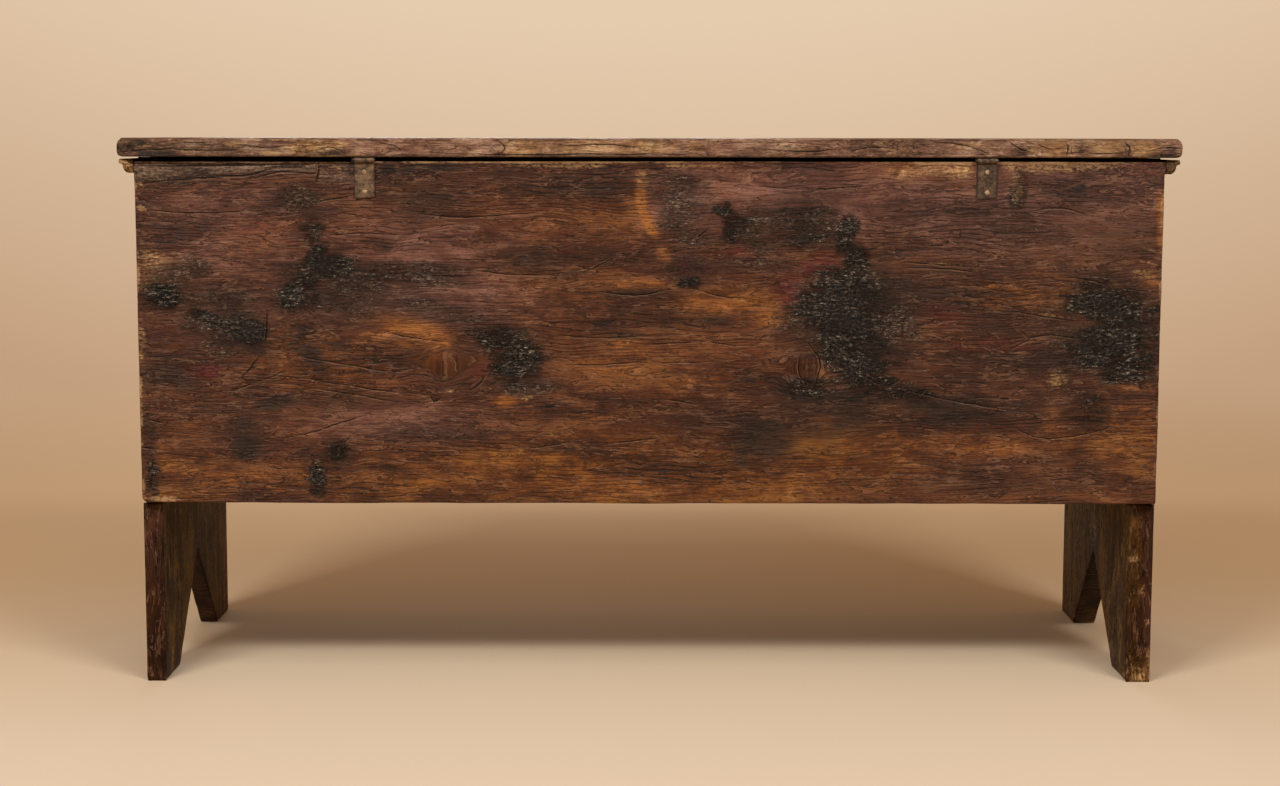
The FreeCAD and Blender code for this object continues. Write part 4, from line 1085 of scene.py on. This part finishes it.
def front_board():
    plank = Plank("front_board", 2, -1)
    plank.scatter(3.3 * MM, 3.0 * MM, 4, (71, 31), knots=6)
    up, top = plank.world[:, 2], plank.high[2]
    plank.fields["worn"][:, 2] = plank.inner
    plank.fields["marks"] *= (1 - 0.7 * plank.inner)[:, None]
    plank.dents = seat_nails(plank.dents, plank.world, NAIL_PLACES["front_board_nails"])
    plank.dents *= 1 - 0.8 * smooth_step(top - 24 * MM, top - 16 * MM, up)
    wave = edge_wave(plank.world, 38) * smooth_step(top, top - 30 * MM, up)
    plank.finish("front_plank", "case", "board_wood", BOARD_OAK, 4 * MM, edge_radius(plank.world, 39), wave)


def bottom_board():
    plank = Plank("bottom_board", 1, 1)
    plank.scatter(6.0 * MM, 6.0 * MM, 2, (72, 41), knots=5, busy=0.6)
    plank.fields["worn"][:, 2] = 0.75
    plank.fields["marks"] *= 0.6
    plank.dents *= 0.5
    plank.finish("bottom_plank", "case", "bottom_wood", BOTTOM_OAK, 1e-6, 1.2 * MM, 0.0)


def lid_board():
    plank = Plank("lid_board", 1, 1)
    plank.scatter(3.2 * MM, 3.2 * MM, 2, (73, 51), knots=6, level_step=2.2 * MM)
    points, world, fields = plank.points, plank.world, plank.fields
    low, high = plank.low[:2], plank.high[:2]
    rear = smooth_step(high[1] - 8 * MM, high[1] - 2 * MM, world[:, 1]) * (1 - plank.inner)
    px, py = photo_pixels(world)
    edge = edge_marks(px, py, LID_EDGE, noise(world, (50, 50, 50), 52, 3) * 0.5)
    signed, strength = crack_field(px, py, LID_EDGE["cracks"], 4.0)
    nothing = np.zeros(len(points))
    fields["zones"] *= 0.6
    cover_fields(fields, rear, {
        "zones": stack(edge["gold"], 1 - edge["gold"], edge["shade"]),
        "tones": stack(nothing, edge["red"], nothing),
        "marks": stack(nothing, nothing + 0.2, edge["stain"]),
        "worn": stack(edge["wear_and_glints"], np.maximum(edge["ochre"], 0.05), nothing),
        "crack_a": stack(signed * MM, strength, nothing),
        "crack_b": np.zeros((len(points), 3)),
    })
    edge_gap = np.minimum(points[:, :2] - low, high - points[:, :2]).min(axis=1)
    rubbed = smooth_step(16 * MM, 0, edge_gap) * np.clip(0.3 + noise(world, (40, 40, 40), 53, 2), 0, 1)
    rubbed *= 1 - 0.6 * rear
    fields["worn"][:, :2] = np.maximum(fields["worn"][:, :2], rubbed[:, None] * np.array([1.0, 0.7]))
    fields["worn"][:, 2] = plank.inner
    plank.dents *= 1 - 0.8 * plank.inner
    at_end = smooth_step(9 * MM, 3 * MM, plank.end_gap())
    radius = edge_radius(world, 54, 2.8, 1.3)
    radius += at_end * np.where(points[:, 2] > plank.thickness / 2, 3.4, 6.2) * MM
    plank.finish("lid_plank", "lid", "lid_wood", LID_OAK, 5 * MM, radius, edge_wave(world, 55, 0.7, 0.7))


# End boards, which stand on the floor and are notched into feet

NOTCH_HALF_WIDTH = 121 * MM
NOTCH_HEIGHT = 118 * MM
SHOULDER_HEIGHT = 211 * MM
SHOULDER_DEPTH = 15 * MM
SHOULDER_COLUMNS = 5


def end_outline(low, high):
    """The corners of an end board, counter-clockwise seen with Y to the right."""
    middle = (low[1] + high[1]) / 2
    corners = [(high[1], 0.0), (high[1], SHOULDER_HEIGHT), (high[1] - SHOULDER_DEPTH, SHOULDER_HEIGHT),
               (high[1] - SHOULDER_DEPTH, high[2]), (low[1] + SHOULDER_DEPTH, high[2]),
               (low[1] + SHOULDER_DEPTH, SHOULDER_HEIGHT), (low[1], SHOULDER_HEIGHT), (low[1], 0.0),
               (middle - NOTCH_HALF_WIDTH, 0.0), (middle, NOTCH_HEIGHT), (middle + NOTCH_HALF_WIDTH, 0.0)]
    return np.array(corners)


def end_grid(low, high, step):
    """The points and squares of an end board's face, split below the notch."""
    middle = (low[1] + high[1]) / 2
    below = np.linspace(0, NOTCH_HEIGHT, round(NOTCH_HEIGHT / step) + 1)
    beside = np.linspace(NOTCH_HEIGHT, SHOULDER_HEIGHT, round((SHOULDER_HEIGHT - NOTCH_HEIGHT) / step) + 1)
    above = np.linspace(SHOULDER_HEIGHT, high[2], round((high[2] - SHOULDER_HEIGHT) / step) + 1)
    heights = np.concatenate([below, beside[1:], above[1:]])
    shoulder = np.searchsorted(heights, SHOULDER_HEIGHT - 1e-9)
    half = (high[1] - low[1]) / 2 - SHOULDER_DEPTH
    columns = round(half / step)
    places, index, squares = [], {}, []
    for side in (1, -1):
        for row, z in enumerate(heights):
            inner = NOTCH_HALF_WIDTH * max(0.0, 1 - z / NOTCH_HEIGHT)
            reach = columns + (SHOULDER_COLUMNS if row <= shoulder else 0)
            for column in range(reach + 1):
                if column <= columns:
                    away = inner + (half - inner) * column / columns
                else:
                    away = half + SHOULDER_DEPTH * (column - columns) / SHOULDER_COLUMNS
                shared = column == 0 and inner == 0.0
                key = (0 if shared else side, row, column)
                if key not in index:
                    index[key] = len(places)
                    places.append((middle + side * away, z))

        def corner(row, column):
            shared = column == 0 and heights[row] >= NOTCH_HEIGHT - 1e-12
            return index[(0 if shared else side, row, column)]

        for row in range(len(heights) - 1):
            for column in range(columns + (SHOULDER_COLUMNS if row < shoulder else 0)):
                square = (corner(row, column), corner(row, column + 1),
                          corner(row + 1, column + 1), corner(row + 1, column))
                squares.append(square if side > 0 else square[::-1])
    return np.array(places), squares


def outline_edge(points, corners):
    """How far each point is from an outline, and the way in from its nearest side."""
    nearest = np.full(len(points), 1e6)
    inward = np.zeros((len(points), 2))
    for start, end in zip(corners, np.roll(corners, -1, axis=0)):
        side = end - start
        length = np.hypot(*side)
        share = np.clip(((points[:, :2] - start) @ side) / length ** 2, 0, 1)
        away = np.linalg.norm(points[:, :2] - start - share[:, None] * side, axis=1)
        closer = away < nearest - 1e-7
        nearest = np.where(closer, away, nearest)
        inward[closer] = np.array([-side[1], side[0]]) / length
    return nearest, inward


def end_board(name, node, outward, seed):
    low, high = box_of(node)
    thickness = high[0] - low[0]
    flat, squares = end_grid(low, high, 3.7 * MM)
    points, faces = outline_slab(flat, squares, grid_lines(0.0, thickness, LEVEL_STEP))
    outer = high[0] if outward > 0 else low[0]
    world = stack(outer - outward * points[:, 2], points[:, :2])
    marks = scattered_marks(np.array([0, low[1] / MM]), high[[2, 1]] / MM, seed, knots=3)
    fields, dents = wood_surface(world, points[:, 1] / MM, points[:, 0] / MM, points[:, 2], marks, MM, seed)
    gap, inward = outline_edge(points, end_outline(low, high))
    fields["worn"][:, 2] = inner_face(points, thickness) * 0.8
    notch_side = (gap < 1 * MM) & (world[:, 2] < NOTCH_HEIGHT) & (np.abs(inward[:, 1]) > 0.2)
    notch_side &= world[:, 2] > 1 * MM
    fields["marks"][:, 2] = np.maximum(fields["marks"][:, 2], notch_side * 0.8)
    foot = smooth_step(70 * MM, 0, world[:, 2]) * np.clip(0.4 + noise(world, (50, 50, 30), seed + 5, 2), 0, 1)
    fields["worn"][:, 0] = np.maximum(fields["worn"][:, 0], foot * 0.8)
    px, py = photo_pixels(world)
    rear = smooth_step(high[1] - 5 * MM, high[1] - 1 * MM, world[:, 1]) * (world[:, 2] < SHOULDER_HEIGHT)
    edge = edge_marks(px, py, LEG_EDGES, noise(world, (50, 50, 50), seed + 8, 3) * 0.5)
    nothing = np.zeros((len(points), 3))
    cover_fields(fields, rear, {
        "zones": stack(edge["gold"], edge["pink"], edge["shade"]),
        "tones": nothing,
        "marks": nothing,
        "worn": stack(edge["wear_and_glints"], edge["ochre"], nothing[:, 0]),
    })
    clear = smooth_step(0, 24 * MM, world[:, 2]) * smooth_step(high[2], high[2] - 40 * MM, world[:, 2])
    wave = edge_wave(world, seed + 6, 0.9, 0.9) * clear
    radius = edge_radius(world, seed + 7, 2.6, 1.5)
    moved = round_and_wear(points, gap, inward, thickness, radius, wave, dents)
    moved[:, 1] = np.maximum(moved[:, 1], 0)
    moved[:, 1] = np.where(points[:, 1] <= 0, np.minimum(moved[:, 1], radius), moved[:, 1])
    vertices = stack(outer - outward * moved[:, 2], moved[:, :2])
    make_piece(name, vertices, faces, fields, END_OAK, "case", [node])


# Mouldings under the lid

FILLET = 5 * MM
COVE_HEIGHT = 2.5 * MM
COVE_WIDTH = 4.5 * MM
MOULDING_FOOT = 6 * MM


def arc_points(start, end, bulge, count):
    """Points from start to end on an arc that stands off its chord by a share of it."""
    start, end = np.array(start), np.array(end)
    chord = end - start
    side = np.array([-chord[1], chord[0]]) * bulge
    shares = np.linspace(0, 1, count + 1)[1:]
    return [tuple(start + chord * s + side * 4 * s * (1 - s)) for s in shares]


def moulding_section(projection, height):
    """The outward and upward points of the section: foot, ovolo, cove and fillet."""
    waist = (projection - COVE_WIDTH, height - FILLET - COVE_HEIGHT)
    under_fillet = (projection, height - FILLET)
    points = [(0.0, 0.0), (MOULDING_FOOT / 2, 0.0), (MOULDING_FOOT, 0.0)]
    points += arc_points(points[-1], waist, -0.16, 6)
    points += arc_points(waist, under_fillet, 0.16, 4)
    points += [(projection, height - FILLET / 2), (projection - 0.4 * MM, height - 0.8 * MM),
               (projection - 1.2 * MM, height), (projection / 2, height), (0.0, height)]
    return np.array(points)


def moulding(name, node, run_axis, outward, mitred, seed, rear_tone=0.0):
    """A length of moulding. run_axis is 0 along the front and 1 along an end. mitred tells which of
    its two ends, low and high, are mitred. rear_tone makes the cut end at the back paler."""
    low, high = box_of(node)
    out_axis = 1 - run_axis
    projection = high[out_axis] - low[out_axis]
    section = moulding_section(projection, high[2] - low[2])
    base = low[out_axis] if outward > 0 else high[out_axis]
    stations = grid_lines(0.0, high[run_axis] - low[run_axis], 4.0 * MM)
    length = stations[-1]
    rows = len(section)
    run = np.repeat(stations[:, None], rows, axis=1)
    start = (projection - section[:, 0]) * mitred[0]
    end = length - (projection - section[:, 0]) * mitred[1]
    run = start + (end - start) * run / length
    world = np.zeros((len(stations), rows, 3))
    world[:, :, run_axis] = low[run_axis] + run
    world[:, :, out_axis] = base + outward * section[:, 0]
    world[:, :, 2] = low[2] + section[:, 1]
    flat = world.reshape(-1, 3)
    dirt = smooth_step(0.0, 1.0, 0.5 + noise(flat, (30, 30, 60), seed, 2))
    fields = {field: np.zeros((len(flat), 3)) for field in ("tones", "marks", "worn", "crack_a", "crack_b")}
    fields["grain"] = flat[:, [run_axis, 2, out_axis]] + np.array([seed, 0, 0])
    at_end = np.repeat(stations >= length, rows) * (1 - mitred[1])
    fields["marks"][:, 2] = dirt * 0.4 * (1 - at_end)
    fields["worn"][:, 1] = at_end * rear_tone
    outer = np.tile(section[:, 0] / projection, len(stations))
    rubbed = smooth_step(0.8, 1.0, outer) * (0.5 + 0.5 * noise(flat, (40, 40, 40), seed + 1, 2))
    fields["worn"][:, 0] = np.maximum(rubbed, at_end * rear_tone * 0.8)
    wear_and_glints = MM * (0.25 + 0.25 * noise(flat, (25, 25, 60), seed + 2, 2)) * smooth_step(0.2, 0.5, outer)
    flat[:, out_axis] -= outward * wear_and_glints
    faces = [(i * rows + j, (i + 1) * rows + j, (i + 1) * rows + (j + 1) % rows, i * rows + (j + 1) % rows)
             for i in range(len(stations) - 1) for j in range(rows)]
    faces.append(tuple(range(rows)))
    faces.append(tuple((len(stations) - 1) * rows + j for j in reversed(range(rows))))
    make_piece(name, flat, faces, fields, MOULDING_OAK, "case", [node])


# Nails

def parts_of(node):
    """The lowest and highest corners of each nail in a node."""
    shell = bmesh.new()
    shell.from_mesh(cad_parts[node].data)
    bmesh.ops.remove_doubles(shell, verts=shell.verts[:], dist=1e-6)
    left = set(shell.verts)
    found = []
    while left:
        queue = [left.pop()]
        part = []
        while queue:
            vert = queue.pop()
            part.append(tuple(vert.co))
            for edge in vert.link_edges:
                other = edge.other_vert(vert)
                if other in left:
                    left.remove(other)
                    queue.append(other)
        found.append((np.min(part, axis=0), np.max(part, axis=0)))
    shell.free()
    return sorted(found, key=lambda box: tuple(np.round(box[0], 4)))


# Each nail node with the axis that its nails follow and the way that their heads face
NAIL_WAYS = {"back_board_nails": (1, 1), "front_board_nails": (1, -1), "hinge_case_nails": (1, 1),
             "hinge_lid_nails": (2, -1)}
NAIL_HEAD_HEIGHT = 1.2 * MM
NAIL_HEAD_SIDES = 9
# Each ring of a nail: its share of the head's half width, and its height over the wood
NAIL_RINGS = ((0.35, -14 * MM), (0.5, -1.2 * MM), (0.98, -0.9 * MM), (1.0, -0.1 * MM), (0.8, 0.45 * MM),
              (0.36, 0.75 * MM))


def nail_place(part, axis, way):
    low, high = part
    place = (low + high) / 2
    place[axis] = (high[axis] - NAIL_HEAD_HEIGHT) if way > 0 else (low[axis] + NAIL_HEAD_HEIGHT)
    return place


NAIL_PLACES = {node: [nail_place(part, *ways) for part in parts_of(node)]
               for node, ways in NAIL_WAYS.items()}


def nails(name, node, body, half_width, sunk, seed, material=NAIL_IRON):
    """Wrought nails with low beaten heads, one mesh for the node."""
    axis, way = NAIL_WAYS[node]
    across, up = [k for k in range(3) if k != axis]
    random = np.random.default_rng(seed)
    vertices, faces = [], []
    for place in NAIL_PLACES[node]:
        start = len(vertices)
        turn = random.uniform(0, math.tau)
        beaten = 1 + 0.12 * random.standard_normal(NAIL_HEAD_SIDES)
        for share, height in NAIL_RINGS:
            for side in range(NAIL_HEAD_SIDES):
                angle = turn + math.tau * side / NAIL_HEAD_SIDES
                spread = half_width * share * np.clip(beaten[side], 0.8, 1.2)
                point = place.copy()
                point[across] += spread * math.cos(angle)
                point[up] += spread * math.sin(angle)
                point[axis] += way * (height - sunk)
                vertices.append(point)
        for ring in range(len(NAIL_RINGS) - 1):
            for side in range(NAIL_HEAD_SIDES):
                here = start + ring * NAIL_HEAD_SIDES
                following = (side + 1) % NAIL_HEAD_SIDES
                faces.append((here + side, here + following, here + NAIL_HEAD_SIDES + following,
                              here + NAIL_HEAD_SIDES + side))
        faces.append(tuple(start + side for side in reversed(range(NAIL_HEAD_SIDES))))
        last = start + (len(NAIL_RINGS) - 1) * NAIL_HEAD_SIDES
        faces.append(tuple(last + side for side in range(NAIL_HEAD_SIDES)))
    rubbed = np.full((len(vertices), 3), 1.0)
    make_piece(name, np.array(vertices), faces, {"rubbed": rubbed}, material, body, [node])


# The longest edge of a leaf's mesh, and how often its edges may be halved for that
LEAF_GRAIN = 1.8 * MM
LEAF_SPLITS = 6
# How much shorter a case leaf is drawn, and how its end slopes
LEAF_SHORTENED = 3.6 * MM
LEAF_END_SLOPE = -0.1


def hinge_leaf(name, node, body, seed, shortened=0.0, grime=0.0):
    """A hinge leaf with the modelled one's form, its plate beaten, nibbled along its edges and a
    little short at its lower end. grime makes the whole plate darker."""
    shell = bmesh.new()
    shell.from_mesh(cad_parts[node].data)
    bmesh.ops.remove_doubles(shell, verts=shell.verts[:], dist=1e-6)
    bmesh.ops.triangulate(shell, faces=shell.faces[:])
    for _ in range(LEAF_SPLITS):
        long_edges = [edge for edge in shell.edges if edge.calc_length() > LEAF_GRAIN]
        if not long_edges:
            break
        bmesh.ops.subdivide_edges(shell, edges=long_edges, cuts=1)
        bmesh.ops.triangulate(shell, faces=shell.faces[:])
    shell.normal_update()
    places = np.array([tuple(vert.co) for vert in shell.verts])
    normals = np.array([tuple(vert.normal) for vert in shell.verts])
    faces = [tuple(vert.index for vert in face.verts) for face in shell.faces]
    shell.free()
    low, high = places.min(axis=0), places.max(axis=0)
    side_gap = np.minimum(places[:, 0] - low[0], high[0] - places[:, 0])
    end = 2 if shortened else 1
    end_gap = places[:, end] - low[end]
    if shortened:
        share = smooth_step(16 * MM, 0, end_gap)
        slope = LEAF_END_SLOPE * (places[:, 0] - (low[0] + high[0]) / 2)
        places[:, 2] += share * (shortened + slope + 0.5 * MM * noise(places, (200, 200, 200), seed, 2))
    dents = 0.18 * (1 + noise(places, (110, 110, 110), seed + 1, 3)) * MM
    at_edge = smooth_step(2.2 * MM, 0, np.minimum(side_gap, end_gap))
    dents += at_edge * (0.2 + 0.35 * np.abs(noise(places, (160, 160, 160), seed + 2, 2))) * MM
    moved = places - normals * dents[:, None]
    rubbed = np.clip(1 - grime - 0.9 * at_edge + 0.2 * noise(places, (150, 150, 150), seed + 3, 2), 0, 1)
    fields = {"rubbed": stack(rubbed, rubbed, rubbed)}
    piece = make_piece(name, moved, faces, fields, HINGE_IRON, body, [node])
    piece.data.set_sharp_from_angle(angle=math.radians(40))


make_camera()
make_studio()
make_floor()
back_board()
front_board()
bottom_board()
lid_board()
end_board("right_end_plank", "right_end_board", 1, 81)
end_board("left_end_plank", "left_end_board", -1, 87)
moulding("front_ogee", "front_moulding", 0, -1, (1, 1), 3)
moulding("right_ogee", "right_moulding", 1, 1, (1, 0), 5, 1.0)
moulding("left_ogee", "left_moulding", 1, -1, (1, 0), 7, 0.15)
nails("back_nails", "back_board_nails", "case", 2.6 * MM, 0.5 * MM, 21)
nails("front_nails", "front_board_nails", "case", 3.0 * MM, 0.5 * MM, 22)
nails("case_leaf_nails", "hinge_case_nails", "case", 2.8 * MM, 0.25 * MM, 23, BRIGHT_NAIL_IRON)
nails("lid_leaf_nails", "hinge_lid_nails", "lid", 2.8 * MM, 0.25 * MM, 24, BRIGHT_NAIL_IRON)
hinge_leaf("right_case_leaf", "right_hinge_case_leaf", "case", 91, LEAF_SHORTENED)
hinge_leaf("left_case_leaf", "left_hinge_case_leaf", "case", 95, LEAF_SHORTENED, 0.4)
hinge_leaf("right_lid_leaf", "right_hinge_lid_leaf", "lid", 101)
hinge_leaf("left_lid_leaf", "left_hinge_lid_leaf", "lid", 105)

for name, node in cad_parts.items():
    if "pin" in name or name == "moulding_nails":
        node.data.materials.clear()
        node.data.materials.append(NAIL_IRON if name == "moulding_nails" else HINGE_IRON)
